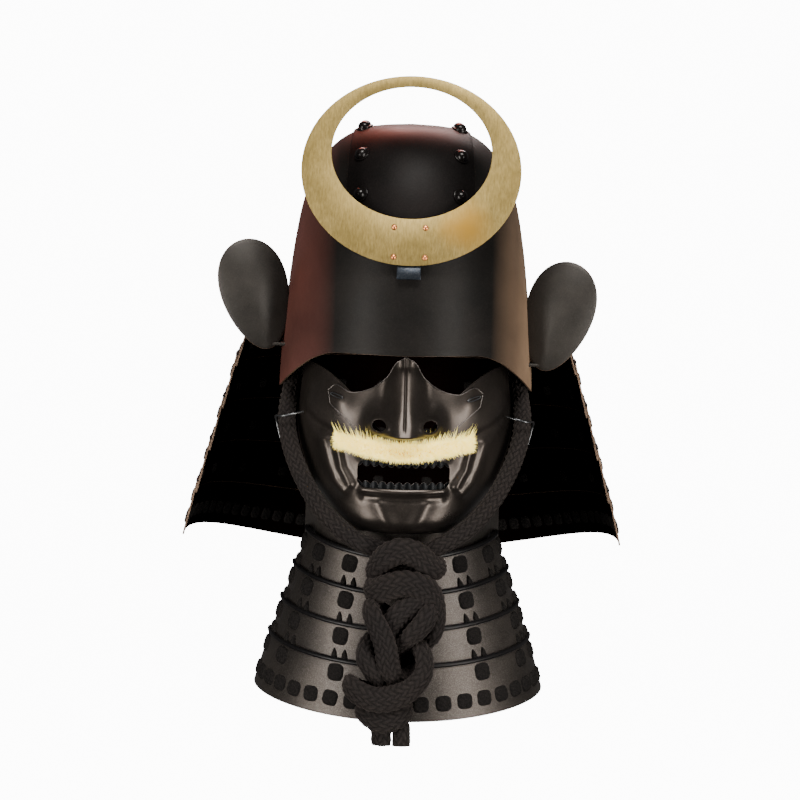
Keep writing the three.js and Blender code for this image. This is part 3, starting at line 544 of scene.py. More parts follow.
def weld(piece, distance=0.00002):
    edit(piece)
    bpy.ops.mesh.select_all(action="SELECT")
    bpy.ops.mesh.remove_doubles(threshold=distance)
    bpy.ops.object.mode_set(mode="OBJECT")


def cut_away(piece, place, normal, keep_side=None):
    """Cuts off what lies on the normal's side of a plane, of the piece or of the part keep_side picks."""
    edit(piece)
    bpy.ops.object.mode_set(mode="OBJECT")
    for point in piece.data.vertices:
        point.select = keep_side is None or keep_side(point.co)
    for face in piece.data.polygons:
        face.select = all(piece.data.vertices[k].select for k in face.vertices)
    bpy.ops.object.mode_set(mode="EDIT")
    bpy.ops.mesh.bisect(plane_co=place, plane_no=normal, clear_outer=True)
    bpy.ops.object.mode_set(mode="OBJECT")


def apply_modifiers(piece):
    deselect_all()
    bpy.context.view_layer.objects.active = piece
    piece.select_set(True)
    for modifier in list(piece.modifiers):
        bpy.ops.object.modifier_apply(modifier=modifier.name)


def give_wall(piece, wall, finishes, bevel=0.00035):
    """Thickens a sheet inwards and rounds its edges. finishes are the outside, edge and inside."""
    for finish in finishes:
        piece.data.materials.append(finish)
    solid = piece.modifiers.new("wall", "SOLIDIFY")
    solid.thickness = wall
    solid.offset = -1
    solid.use_even_offset = True
    solid.material_offset_rim = 1
    solid.material_offset = 2
    edge = piece.modifiers.new("edge", "BEVEL")
    edge.width = bevel
    edge.segments = 2
    edge.limit_method = "ANGLE"
    edge.angle_limit = math.radians(55)
    edge.use_clamp_overlap = True
    edge.material = 1
    apply_modifiers(piece)
    bpy.ops.object.shade_smooth_by_angle(angle=math.radians(38))


def settle(piece, slot, *nodes):
    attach(piece, "root")
    if nodes:
        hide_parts(*nodes)


def copy_of(piece, name):
    twin = piece.copy()
    twin.data = piece.data.copy()
    twin.name = name
    twin.data.name = name
    bpy.context.scene.collection.objects.link(twin)
    return twin


def grained_steel(
    name, dark, light, metallic, roughness, specks=0.02, grain=1400, bump_depth=0.00006, shine=0.5
):
    """Blackened or burnished steel: a slow change of colour, bright specks and a fine grain in the gloss."""
    finish, tree, shader = new_finish(name, dark, metallic, roughness)
    shader.inputs["Specular IOR Level"].default_value = shine
    place = add_node(tree, "ShaderNodeTexCoord").outputs["Object"]
    cloud = add_node(tree, "ShaderNodeTexNoise", Vector=place, Scale=16, Detail=5, Roughness=0.6)
    fine = add_node(tree, "ShaderNodeTexNoise", Vector=place, Scale=grain, Detail=2, Roughness=0.6)
    base = colour_ramp(tree, cloud.outputs["Fac"], [(0.35, dark), (0.68, light)])
    spark = colour_ramp(
        tree, fine.outputs["Fac"], [(0.45, (0, 0, 0)), (0.72, (specks, specks * 0.94, specks * 0.88))]
    )
    sum_mix = add_node(tree, "ShaderNodeMix")
    sum_mix.data_type = "RGBA"
    sum_mix.blend_type = "ADD"
    sum_mix.inputs[0].default_value = 1
    tree.links.new(base, sum_mix.inputs[6])
    tree.links.new(spark, sum_mix.inputs[7])
    tree.links.new(sum_mix.outputs[2], shader.inputs["Base Color"])
    gloss = add_node(tree, "ShaderNodeMapRange", Value=cloud.outputs["Fac"])
    gloss.inputs["From Min"].default_value = 0.3
    gloss.inputs["From Max"].default_value = 0.7
    gloss.inputs["To Min"].default_value = roughness - 0.05
    gloss.inputs["To Max"].default_value = roughness + 0.06
    tree.links.new(gloss.outputs["Result"], shader.inputs["Roughness"])
    bump = add_node(tree, "ShaderNodeBump", Strength=0.6, Distance=bump_depth, Height=fine.outputs["Fac"])
    tree.links.new(bump.outputs["Normal"], shader.inputs["Normal"])
    return finish


bowl_black = grained_steel(
    "bowl_black", (0.0035, 0.0032, 0.0030), (0.0070, 0.0058, 0.0052), 0.2, 0.47, specks=0.006, shine=0.10
)
# The edge finish on rims and bevels is lighter brown: partly wear, partly a painted highlight where the edges
# catch light.
edge_wear_and_highlight = grained_steel("edge_wear_and_highlight", (0.07, 0.045, 0.030), (0.14, 0.09, 0.06), 0.7, 0.42)
steel_tree = bowl_black.node_tree
shader = next(node for node in steel_tree.nodes if node.type == "BSDF_PRINCIPLED")
steel_colour = shader.inputs["Base Color"].links[0].from_socket
# Painted reflections: a red-brown one on the wearer's right side and a tan one on the left, added to the steel's
# colour by place.
place = add_node(steel_tree, "ShaderNodeTexCoord").outputs["Object"]
drift = add_node(steel_tree, "ShaderNodeTexNoise", Vector=place, Scale=11, Detail=5)
split = add_node(steel_tree, "ShaderNodeSeparateXYZ", Vector=place)
sideways = add_node(steel_tree, "ShaderNodeMath")
sideways.operation = "MULTIPLY_ADD"
steel_tree.links.new(split.outputs["X"], sideways.inputs[0])
sideways.inputs[1].default_value = 3.8
sideways.inputs[2].default_value = 0.5
painted_red_reflection = colour_ramp(
    steel_tree,
    sideways.outputs[0],
    [(0.06, (0.22, 0.075, 0.058)), (0.15, (0.13, 0.043, 0.034)), (0.27, (0, 0, 0))],
)
painted_tan_reflection = colour_ramp(
    steel_tree,
    sideways.outputs[0],
    [(0.77, (0, 0, 0)), (0.86, (0.17, 0.110, 0.070)), (0.94, (0.48, 0.320, 0.200))],
)
steel_with_painted_reflections = steel_colour
for tint in (painted_red_reflection, painted_tan_reflection):
    layer = add_node(steel_tree, "ShaderNodeMix")
    layer.data_type = "RGBA"
    layer.blend_type = "ADD"
    steel_tree.links.new(drift.outputs["Fac"], layer.inputs[0])
    steel_tree.links.new(steel_with_painted_reflections, layer.inputs[6])
    steel_tree.links.new(tint, layer.inputs[7])
    steel_with_painted_reflections = layer.outputs[2]
steel_tree.links.new(steel_with_painted_reflections, shader.inputs["Base Color"])
# Inside faces of the bowl, crown strip, mask, nose and throat lames are near black with no gloss: painted shade.
inside_painted_shade = grained_steel(
    "inside_painted_shade", (0.0004, 0.0003, 0.0003), (0.0009, 0.0006, 0.0006), 0.0, 0.85, specks=0.0003, shine=0.0
)
columns = len(turn_angles) - 1
dome = laid_grid(
    "bowl_front", columns, 46, lambda i, j: bowl_place(turn_angles[i], j / 46, bowl_bottom(turn_angles[i]))
)
weld(dome)
whole_dome = copy_of(dome, "whole_dome")
back_half = copy_of(dome, "bowl_back")
cut_away(dome, (0, seam_behind, 0), (0, 1, 0))
cut_away(back_half, (0, seam_behind + 0.0003, 0), (0, -1, 0))
give_wall(dome, plate, (bowl_black, edge_wear_and_highlight, inside_painted_shade))
give_wall(back_half, plate, (bowl_black, edge_wear_and_highlight, inside_painted_shade))
settle(dome, "bowl_steel", "front_plate")
settle(back_half, "bowl_steel", "back_plate")

# Crown strip. A wide strip of black lacquered steel lies over the crown from front to back, a little wider
# at both ends. Sixteen round-headed rivets, each on a thin washer, hold it along its two edges.
strip_lift = 0.0003
strip_crown_half = 0.050
strip_end_half = 0.058
strip_reach = 0.148
strip_front_end = 0.100
strip_back_end = 0.1637
strip = whole_dome
strip.name = "crown_strip"
strip.data.name = "crown_strip"
lifts = [point.normal.copy() for point in strip.data.vertices]
for point, lift in zip(strip.data.vertices, lifts):
    point.co += lift * (strip_lift + plate)
cut_away(strip, (0, 0, -strip_front_end), (0, 0, -1), lambda p: p.y <= 0.0001)
cut_away(strip, (0, 0, -strip_back_end), (0, 0, -1), lambda p: p.y >= -0.0001)
slope = (strip_end_half - strip_crown_half) / strip_reach
for side in (-1, 1):
    for way in (-1, 1):
        cut_away(
            strip, (side * strip_crown_half, 0, 0), (side, -way * slope, 0), lambda p: p.y * way >= -0.0001
        )
strip_black = grained_steel(
    "strip_black", (0.0026, 0.0022, 0.0022), (0.0050, 0.0038, 0.0036), 0.2, 0.47, specks=0.004, shine=0.06
)
give_wall(strip, plate, (strip_black, edge_wear_and_highlight, inside_painted_shade), bevel=0.0007)
settle(strip, "bowl_steel", "top_strip")

rivet_radius = 0.0056
rivet_inset = 0.009
rivet_rows = [-0.72, -0.56, -0.2, 0.12, 0.42, 0.61, 0.72, 0.785]


def bowl_surface(x, y):
    reach = min(math.hypot(x / bowl_half_width, y / bowl_half_depth), 1)
    return Vector((x, y, plate - bowl_height * drop_at(reach)))


def bowl_normal(x, y):
    here = bowl_surface(x, y)
    return (bowl_surface(x + 0.0005, y) - here).cross(bowl_surface(x, y + 0.0005) - here).normalized()


def round_head(name, radius, height, washer, sides=28):
    """A rivet head on its washer, grown ring by ring from a disc."""
    deselect_all()
    bpy.ops.mesh.primitive_circle_add(
        vertices=sides, radius=radius * washer, fill_type="NGON", location=(0, 0, -0.0012)
    )
    head = bpy.context.active_object
    head.name = name
    head.data.name = name
    edit(head)
    bpy.ops.mesh.select_mode(type="FACE")
    bpy.ops.mesh.select_all(action="SELECT")
    bpy.ops.mesh.extrude_region_move(TRANSFORM_OT_translate={"value": (0, 0, 0.0018)})
    bpy.ops.mesh.inset(thickness=radius * 0.05)
    bpy.ops.transform.translate(value=(0, 0, 0.00018))
    bpy.ops.mesh.inset(thickness=radius * (washer - 1.02))
    steps = 7
    for k in range(1, steps + 1):
        before, after = math.pi / 2 * (k - 1) / steps, math.pi / 2 * min(k, steps - 0.25) / steps
        rise = height * (math.sin(after) - math.sin(before))
        bpy.ops.mesh.extrude_region_move(TRANSFORM_OT_translate={"value": (0, 0, rise)})
        shrink = math.cos(after) / math.cos(before)
        bpy.ops.transform.resize(value=(shrink, shrink, 1))
    bpy.ops.object.mode_set(mode="OBJECT")
    bpy.ops.object.transform_apply(location=True, rotation=True, scale=True)
    bpy.ops.object.shade_smooth_by_angle(angle=math.radians(40))
    return head


def put(piece, name, place, normal, turn=0):
    """A copy of a small part, stood with its own +Z along the normal, its place kept in its mesh."""
    twin = copy_of(piece, name)
    stand = Vector(normal).to_track_quat("Z", "Y").to_matrix().to_4x4()
    twin.data.transform(Matrix.Translation(place) @ stand @ Matrix.Rotation(turn, 4, "Z"))
    return twin


rivet_black = grained_steel(
    "rivet_black", (0.003, 0.0025, 0.0025), (0.006, 0.0045, 0.0045), 0.3, 0.22, specks=0.002, shine=0.22
)
rivet = round_head("rivet", rivet_radius, rivet_radius * 0.86, 1.22)
rivet.data.materials.append(rivet_black)
for row, share in enumerate(rivet_rows):
    y = share * bowl_half_depth
    for side, word in ((-1, "right"), (1, "left")):
        x = side * (strip_crown_half - rivet_inset)
        normal = bowl_normal(x, y)
        piece = put(
            rivet, f"strip_rivet_{word}_{row + 1}", bowl_surface(x, y) + normal * (plate + 0.0009), normal
        )
        settle(piece, "bowl_steel", f"bowl_rivet_{word}_{row + 1}")
bpy.data.objects.remove(rivet)

# Crest. A flat brass ring with its round hole set high stands in front of the bowl, leaned back a little.
# Four copper rivets in its broad lower part fix it to a blued steel post, whose foot is on the front plate.
ring_half_width = 0.0915
ring_half_height = 0.080
hole_half_width = 0.0667
hole_half_height = 0.0557
hole_rise = 0.015
ring_wall = 0.0012
ring_drop = 0.114
ring_stand_off = 0.006
ring_lean = 13
ring_seat = bowl_half_depth * float(reach_at((ring_drop + plate) / bowl_height)) + ring_stand_off
crest_place = Matrix.Translation((0, -ring_seat, -ring_drop)) @ Matrix.Rotation(
    math.radians(-ring_lean), 4, "X"
)
deselect_all()
bpy.ops.mesh.primitive_circle_add(vertices=160, radius=1, rotation=(math.pi / 2, 0, 0))
hole = bpy.context.active_object
hole.scale = (hole_half_width, hole_half_height, 1)
hole.location = (0, 0, ring_half_height + hole_rise)
bpy.ops.mesh.primitive_circle_add(vertices=160, radius=1, rotation=(math.pi / 2, 0, 0))
ring = bpy.context.active_object
ring.name = "crest_disc"
ring.data.name = "crest_disc"
ring.scale = (ring_half_width, ring_half_height, 1)
ring.location = (0, 0, ring_half_height)
hole.select_set(True)
bpy.ops.object.transform_apply(location=True, rotation=True, scale=True)
bpy.ops.object.join()
bpy.ops.object.mode_set(mode="EDIT")
bpy.ops.mesh.select_all(action="SELECT")
bpy.ops.mesh.bridge_edge_loops()
bpy.ops.mesh.select_all(action="SELECT")
bpy.ops.mesh.extrude_region_move(TRANSFORM_OT_translate={"value": (0, -ring_wall, 0)})
bpy.ops.mesh.select_all(action="SELECT")
bpy.ops.mesh.normals_make_consistent(inside=False)
bpy.ops.object.mode_set(mode="OBJECT")
ring_edge = ring.modifiers.new("edge", "BEVEL")
ring_edge.width = 0.0003
ring_edge.segments = 2
ring_edge.limit_method = "ANGLE"
apply_modifiers(ring)
bpy.ops.object.shade_smooth_by_angle(angle=math.radians(35))
ring.data.transform(crest_place)
brass, tree, shader = new_finish("brushed_brass", (0.25, 0.185, 0.06), 1, 0.36)
place = add_node(tree, "ShaderNodeTexCoord").outputs["Object"]
brush = add_node(tree, "ShaderNodeMapping", Vector=place, Rotation=(0, 0.12, 0), Scale=(60, 60, 3))
streaks = add_node(
    tree, "ShaderNodeTexNoise", Vector=brush.outputs["Vector"], Scale=12, Detail=8, Roughness=0.7
)
cloud = add_node(tree, "ShaderNodeTexNoise", Vector=place, Scale=22, Detail=4)
olive = colour_ramp(
    tree, cloud.outputs["Fac"], [(0.3, (0.205, 0.150, 0.050)), (0.7, (0.300, 0.225, 0.084))]
)
lines = colour_ramp(tree, streaks.outputs["Fac"], [(0.32, (0.62, 0.62, 0.60)), (0.68, (1.15, 1.15, 1.15))])
brushed = add_node(tree, "ShaderNodeMix")
brushed.data_type = "RGBA"
brushed.blend_type = "MULTIPLY"
brushed.inputs[0].default_value = 1
tree.links.new(olive, brushed.inputs[6])
tree.links.new(lines, brushed.inputs[7])
# An amber tarnish spot at the lower right of the hole.
away = add_node(tree, "ShaderNodeVectorMath")
away.operation = "DISTANCE"
tree.links.new(place, away.inputs[0])
away.inputs[1].default_value = (0.046, -ring_seat, -ring_drop + 0.033)
wobble = add_node(tree, "ShaderNodeMath")
wobble.operation = "MULTIPLY_ADD"
tree.links.new(cloud.outputs["Fac"], wobble.inputs[0])
wobble.inputs[1].default_value = 0.03
tree.links.new(away.outputs["Value"], wobble.inputs[2])
spot = colour_ramp(tree, wobble.outputs[0], [(0.024, (1, 1, 1)), (0.042, (0, 0, 0))])
tarnished = add_node(tree, "ShaderNodeMix")
tarnished.data_type = "RGBA"
tree.links.new(spot, tarnished.inputs[0])
tree.links.new(brushed.outputs[2], tarnished.inputs[6])
tarnished.inputs[7].default_value = (0.27, 0.155, 0.028, 1)
tree.links.new(tarnished.outputs[2], shader.inputs["Base Color"])
gloss = add_node(tree, "ShaderNodeMapRange", Value=streaks.outputs["Fac"])
gloss.inputs["To Min"].default_value = 0.48
gloss.inputs["To Max"].default_value = 0.62
tree.links.new(gloss.outputs["Result"], shader.inputs["Roughness"])
bump = add_node(tree, "ShaderNodeBump", Strength=0.35, Distance=0.00005, Height=streaks.outputs["Fac"])
tree.links.new(bump.outputs["Normal"], shader.inputs["Normal"])
ring.data.materials.append(brass)
settle(ring, "crest_brass", "crest_ring")

copper = grained_steel("copper", (0.50, 0.16, 0.05), (0.72, 0.28, 0.11), 0.95, 0.28, specks=0.05)
tack = round_head("tack", 0.0021, 0.0011, 1.08, 18)
tack.data.materials.append(copper)
band_middle = (ring_half_height + hole_rise - hole_half_height) / 2
for row, level in ((1, 0.0125), (2, -0.0125)):
    for side, word in ((-1, "right"), (1, "left")):
        local = Vector((side * 0.013, -ring_wall + 0.0002, band_middle + level))
        facing = (crest_place.to_3x3() @ Vector((0, -1, 0))).normalized()
        piece = put(tack, f"crest_tack_{word}_{row}", crest_place @ local, facing)
        settle(piece, "crest_copper", f"crest_rivet_{word}_{row}")
bpy.data.objects.remove(tack)

post_half = 0.008
tab_half = 0.010
tab_drop = 0.011
post_wall = 0.002
deselect_all()
bpy.ops.mesh.primitive_cube_add(
    size=1, location=(0, 0.0006 + post_wall / 2, -tab_drop / 2), scale=(2 * tab_half, post_wall, tab_drop)
)
post = bpy.context.active_object
post.name = "crest_post"
post.data.name = "crest_post"
bpy.ops.object.transform_apply(location=True, rotation=True, scale=True)
edit(post)
bpy.ops.mesh.select_mode(type="FACE")
bpy.ops.object.mode_set(mode="OBJECT")
for face in post.data.polygons:
    face.select = face.normal.z > 0.9
bpy.ops.object.mode_set(mode="EDIT")
bpy.ops.mesh.extrude_region_move(TRANSFORM_OT_translate={"value": (0, 0, 0.0005)})
bpy.ops.transform.resize(value=(post_half / tab_half, 1, 1))
bpy.ops.mesh.extrude_region_move(
    TRANSFORM_OT_translate={"value": (0, 0, ring_half_height + hole_rise - hole_half_height - 0.004)}
)
bpy.ops.mesh.select_all(action="DESELECT")
bpy.ops.object.mode_set(mode="OBJECT")
for face in post.data.polygons:
    face.select = face.normal.y > 0.9 and face.center.z < 0
bpy.ops.object.mode_set(mode="EDIT")
bpy.ops.mesh.inset(thickness=0.0025)
bpy.ops.mesh.extrude_region_move(
    TRANSFORM_OT_translate={"value": (0, ring_stand_off - post_wall - 0.001, 0)}
)
bpy.ops.object.mode_set(mode="OBJECT")
post_edge = post.modifiers.new("edge", "BEVEL")
post_edge.width = 0.0006
post_edge.segments = 3
post_edge.limit_method = "ANGLE"
apply_modifiers(post)
bpy.ops.object.shade_smooth_by_angle(angle=math.radians(35))
post.data.transform(crest_place)
blued = grained_steel("blued_steel", (0.006, 0.009, 0.015), (0.015, 0.022, 0.032), 0.8, 0.38, specks=0.03)
post.data.materials.append(blued)
settle(post, "holder_steel", "crest_holder")

# Ear plates. Two egg-shaped plates of blackened steel, dished towards the front, narrow end down.
# Each stands on a short flat stem that is fixed to the side of the bowl.
ear_length = 0.099
ear_width = 0.061
ear_dish = 0.009
# The ear steel is painted several times lighter than the bowl's black steel, standing in for the light the ears
# catch.
ear_black_painted_light = grained_steel(
    "ear_black_painted_light", (0.015, 0.0138, 0.0126), (0.026, 0.0233, 0.0208), 0.3, 0.42, specks=0.008, shine=0.14
)


def ear_point(i, j):
    angle, share = 2 * math.pi * i / 72, j / 14
    width = ear_width / 2 * math.sin(angle) * (1 + 0.2 * math.cos(angle))
    dish = ear_dish * (1 - share * share) + plate
    return Vector((-share * width, -dish, ear_length / 2 + share * ear_length / 2 * math.cos(angle)))


ear_forward = 0.032
ear_stem_wall = 0.003
ear_stem_reach = 0.014
ear_stem_deep = 0.013
# Each row is a side, how far its plate's lower end is below the crown, and how far it stands off the bowl.
for side, word, ear_bottom, stand_out in ((1, "left", 0.209, 0.011), (-1, "right", 0.196, 0.013)):
    level_reach = float(reach_at((ear_bottom + plate) / bowl_height))
    ear_seat_x = bowl_half_width * level_reach * math.sqrt(
        1 - (ear_forward / (bowl_half_depth * level_reach)) ** 2
    )
    ear_place = (
        Matrix.Translation((ear_seat_x + stand_out, -ear_forward, -ear_bottom))
        @ Matrix.Rotation(math.radians(15), 4, "Y")
        @ Matrix.Rotation(math.radians(-18), 4, "Z")
    )
    ear = laid_grid(f"ear_disc_{word}", 72, 14, ear_point)
    weld(ear)
    edit(ear)
    bpy.ops.mesh.select_all(action="SELECT")
    bpy.ops.mesh.normals_make_consistent(inside=False)
    bpy.ops.object.mode_set(mode="OBJECT")
    ear.data.transform(ear_place)
    middle = max(ear.data.polygons, key=lambda face: -face.center.y)
    if middle.normal.y > 0:
        ear.data.flip_normals()
    if side < 0:
        ear.data.transform(Matrix.Scale(-1, 4, (1, 0, 0)))
        ear.data.flip_normals()
    give_wall(ear, plate, (ear_black_painted_light, edge_wear_and_highlight, ear_black_painted_light), bevel=0.0005)
    deselect_all()
    stem_length = stand_out + ear_stem_reach + 2 * plate
    bpy.ops.mesh.primitive_cube_add(
        size=1,
        location=(
            side * (ear_seat_x + stem_length / 2 - 2 * plate),
            -ear_forward + ear_stem_deep / 2 - plate,
            -ear_bottom + 1.5 * ear_stem_wall,
        ),
        scale=(stem_length, ear_stem_deep, ear_stem_wall),
    )
    stem = bpy.context.active_object
    bpy.ops.object.transform_apply(location=True, rotation=True, scale=True)
    edit(stem)
    bpy.ops.mesh.select_all(action="SELECT")
    bpy.ops.mesh.bevel(offset=0.001, segments=3)
    bpy.ops.object.mode_set(mode="OBJECT")
    bpy.ops.object.shade_smooth_by_angle(angle=math.radians(40))
    stem.data.materials.append(ear_black_painted_light)
    ear.select_set(True)
    bpy.context.view_layer.objects.active = ear
    bpy.ops.object.join()
    settle(ear, "bowl_steel", f"ear_plate_{word}")

# Neck guard. Five flared lames of blackened steel hang round the back, each laced to the one above.
# Outside they are black with flat cord pads; inside they are lacquered red-brown, darkened almost to black as
# painted shade, and the cords show there as dots.
neck_top = 0.164
neck_side_height = 0.203
neck_back_drop = 0.054
neck_half_width, neck_half_depth = 0.198, 0.190
shoulder_width, shoulder_depth = 0.145, 0.152
shoulder_drop = 0.024
neck_first_bottom = 0.050
neck_lames = 5
neck_overlap = 0.011
front_wrap = 6
lame_gap = 0.0003
lame_lift = plate + lame_gap + 0.0005
neck_out = read_table([(0, 0), (0.3, 0.02), (0.52, 0.5), (0.8, 0.86), (1, 1)])


def neck_point(u, width, depth, drop):
    turn = math.radians(-front_wrap + (180 + 2 * front_wrap) * u)
    behind = max(math.sin(turn), 0) ** 2
    share = drop / neck_side_height
    return Vector(
        (
            width * math.cos(turn),
            depth * math.sin(turn),
            -neck_top - drop - neck_back_drop * share**1.5 * behind,
        )
    )


def neck_seat(drop):
    place = (drop - shoulder_drop) / (neck_side_height - shoulder_drop)
    return (
        shoulder_width + (neck_half_width - shoulder_width) * place,
        shoulder_depth + (neck_half_depth - shoulder_depth) * place,
    )


def neck_first(u, v):
    drop = v * neck_first_bottom
    spread = float(neck_out(min(drop / shoulder_drop, 1)))
    width, depth = neck_seat(max(drop, shoulder_drop))
    reach = float(reach_at((neck_top + plate) / bowl_height))
    flange = plate + 2 * lame_gap
    start_width, start_depth = bowl_half_width * reach + flange, bowl_half_depth * reach + flange
    return neck_point(
        u, start_width + (width - start_width) * spread, start_depth + (depth - start_depth) * spread, drop
    )


neck_pitch = (neck_side_height - neck_first_bottom) / (neck_lames - 1)


def neck_lower(number):
    bottom = neck_first_bottom + (number - 1) * neck_pitch
    top = bottom - neck_pitch - neck_overlap

    def place(u, v):
        drop = top + (bottom - top) * v
        width, depth = neck_seat(drop)
        return neck_point(u, width + lame_lift * (1 - v), depth + lame_lift * (1 - v), drop)

    return place


def surface_frame(place, u, v, lift=0.0):
    """Where a point of a surface is, and which ways right, up and out are there."""
    here = place(u, v)
    right = (place(min(u + 0.004, 1), v) - place(max(u - 0.004, 0), v)).normalized()
    down = place(u, min(v + 0.01, 1)) - place(u, max(v - 0.01, 0))
    out = down.cross(right).normalized()
    up = out.cross(right).normalized()
    return here + out * lift, right, up, out


def edge_roll(name, points, radius, finish):
    """A rounded bead along an edge."""
    line = bpy.data.curves.new(name, "CURVE")
    line.dimensions = "3D"
    line.bevel_depth = radius
    line.bevel_resolution = 3
    line.use_fill_caps = True
    spline = line.splines.new("POLY")
    spline.points.add(len(points) - 1)
    for point, place in zip(spline.points, points):
        point.co = (*place, 1)
    bead = bpy.data.objects.new(name, line)
    bpy.context.scene.collection.objects.link(bead)
    deselect_all()
    bead.select_set(True)
    bpy.context.view_layer.objects.active = bead
    bpy.ops.object.convert(target="MESH")
    bead = bpy.context.active_object
    bpy.ops.object.shade_smooth()
    bead.data.materials.append(finish)
    return bead


def join_into(piece, others):
    deselect_all()
    for other in others:
        other.select_set(True)
    piece.select_set(True)
    bpy.context.view_layer.objects.active = piece
    bpy.ops.object.join()


# Red-brown lacquer, its colour pushed almost to black as painted shade inside the guard.
russet_in_painted_shade = grained_steel(
    "russet_lacquer",
    (0.0010, 0.0003, 0.0003),
    (0.0020, 0.0006, 0.0005),
    0.0,
    0.7,
    specks=0.0005,
    grain=700,
    shine=0.0,
)
lame_black = grained_steel(
    "lame_black", (0.004, 0.0035, 0.0035), (0.008, 0.0065, 0.006), 0.3, 0.46, specks=0.008, shine=0.12
)
neck_places = [neck_first] + [neck_lower(number) for number in range(2, neck_lames + 1)]
for number, place in enumerate(neck_places, 1):
    rows_down = 16 if number == 1 else 10
    lame = laid_grid(
        f"neck_guard_lame_{number}", 120, rows_down, lambda i, j: place(i / 120, j / rows_down)
    )
    give_wall(lame, plate, (lame_black, edge_wear_and_highlight, russet_in_painted_shade), bevel=0.0004)
    if number > 1:
        top_line = [surface_frame(place, u, 0.0, -plate / 2)[0] for u in np.linspace(0, 1, 121)]
        join_into(lame, [edge_roll("bead", top_line, 0.0013, lame_black)])
    settle(lame, "lame_steel", f"neck_lame_{number}")


def lacing_pad(name, corner=3.4, pointed=0.0):
    """One flat pad of lacing, 2 wide and 2 high, with the cord's slanting ridges raised on it."""
    deselect_all()
    bpy.ops.mesh.primitive_grid_add(x_subdivisions=14, y_subdivisions=14, size=2)
    pad = bpy.context.active_object
    pad.name = name
    pad.data.name = name
    for point in pad.data.vertices:
        x, y = point.co.x, point.co.y
        round_off = (abs(x) ** corner + abs(y) ** corner) ** (1 / corner) if (x or y) else 0
        square = max(abs(x), abs(y))
        pull = square / round_off if round_off else 1
        x, y = x * pull, y * pull
        narrow = 1 - pointed * ((y + 1) / 2) ** 1.4
        rim = 1 - square**4
        ridge = 0.34 * abs(math.sin(5.2 * (x * 0.75 + y)))
        point.co = (x * narrow, y, max(rim, 0) ** 0.5 * (0.66 + ridge) - 0.25)
    return pad


def sew_on(name, pad, places, finish, slot):
    """Copies a pad to many places as one mesh. Each place is a point, its three ways and the pad's sizes."""
    points = np.array([tuple(point.co) for point in pad.data.vertices])
    faces = [tuple(face.vertices) for face in pad.data.polygons]
    all_points, all_faces = [], []
    for (here, right, up, out), width, height, thick, lean in places:
        c, s = math.cos(lean), math.sin(lean)
        start = len(all_points)
        for x, y, z in points:
            a, b = x * width / 2, y * height / 2
            all_points.append(here + right * (a * c - b * s) + up * (a * s + b * c) + out * (z * thick))
        all_faces += [tuple(k + start for k in face) for face in faces]
    mesh = bpy.data.meshes.new(name)
    mesh.from_pydata([tuple(point) for point in all_points], [], all_faces)
    piece = bpy.data.objects.new(name, mesh)
    bpy.context.scene.collection.objects.link(piece)
    mesh.shade_smooth()
    mesh.materials.append(finish)
    settle(piece, slot)
    return piece


lacing_finish, tree, shader = new_finish("black_lacing", (0.004, 0.0036, 0.0036), 0, 0.85)
shader.inputs["Specular IOR Level"].default_value = 0.08
place_map = add_node(tree, "ShaderNodeTexCoord")
weave = add_node(
    tree, "ShaderNodeTexNoise", Vector=place_map.outputs["Object"], Scale=900, Detail=4, Roughness=0.7
)
tone = colour_ramp(
    tree, weave.outputs["Fac"], [(0.35, (0.0012, 0.0012, 0.0012)), (0.7, (0.011, 0.0095, 0.009))]
)
tree.links.new(tone, shader.inputs["Base Color"])
bump = add_node(tree, "ShaderNodeBump", Strength=0.8, Distance=0.0004, Height=weave.outputs["Fac"])
tree.links.new(bump.outputs["Normal"], shader.inputs["Normal"])
square_pad = lacing_pad("square_pad")
leaf_pad = lacing_pad("leaf_pad", corner=2.2, pointed=0.75)

outer, inner = [], []
neck_columns = [0.035, 0.11, 0.2, 0.29, 0.38, 0.46, 0.54, 0.62, 0.71, 0.8, 0.89, 0.965]
for number, place in enumerate(neck_places, 1):
    for u in neck_columns:
        shift = 0.012 * (number % 2)
        if number > 1:
            here = surface_frame(place, u, 0.34)
            outer.append((here, 0.013, 0.013, 0.0020, 0.0))
        if number < neck_lames:
            here, right, up, out = surface_frame(place, u, 0.72)
            outer.append(((here, right, up, out), 0.012, 0.012, 0.0020, 0.0))
            inner.append(((here - out * plate, -right, up, -out), 0.011, 0.010, 0.0018, 0.0))
for u in np.linspace(0.014, 0.986, 46):
    here, right, up, out = surface_frame(neck_places[-1], float(u), 0.70)
    outer.append(((here, right, up, out), 0.0125, 0.0125, 0.0020, 0.0))
    inner.append(((here - out * plate, -right, up, -out), 0.0118, 0.013, 0.0020, 0.0))
sew_on("neck_guard_lacing_outside", square_pad, outer, lacing_finish, "cord_braid")
sew_on("neck_guard_lacing_inside", square_pad, inner, lacing_finish, "cord_braid")

# Face mask. A war mask of burnished steel, hammered from one sheet, with cheekbones, folds by the mouth,
# lips and chin. Its mouth is cut open, and the nose is a separate plate pinned over it.
mask_wall = 0.002
mask_top = 0.200
mask_height = 0.144
mask_half_width = 0.095
mask_depth = 0.092
mask_back = 0.025
mask_rows = [
    (0, 0.93, 0.8, 0),
    (0.17, 0.965, 0.86, 0.02),
    (0.35, 1, 0.93, 0.04),
    (0.49, 0.985, 0.985, 0.06),
    (0.62, 0.925, 0.99, 0.16),
    (0.73, 0.85, 0.99, 0.27),
    (0.83, 0.73, 0.965, 0.39),
    (0.92, 0.59, 0.955, 0.52),
    (0.97, 0.49, 0.9, 0.6),
    (1, 0.42, 0.82, 0.66),
]
mask_half = read_table([(row[0], row[1]) for row in mask_rows])
mask_front = read_table([(row[0], row[2]) for row in mask_rows])
mask_rear = read_table([(row[0], row[3]) for row in mask_rows])
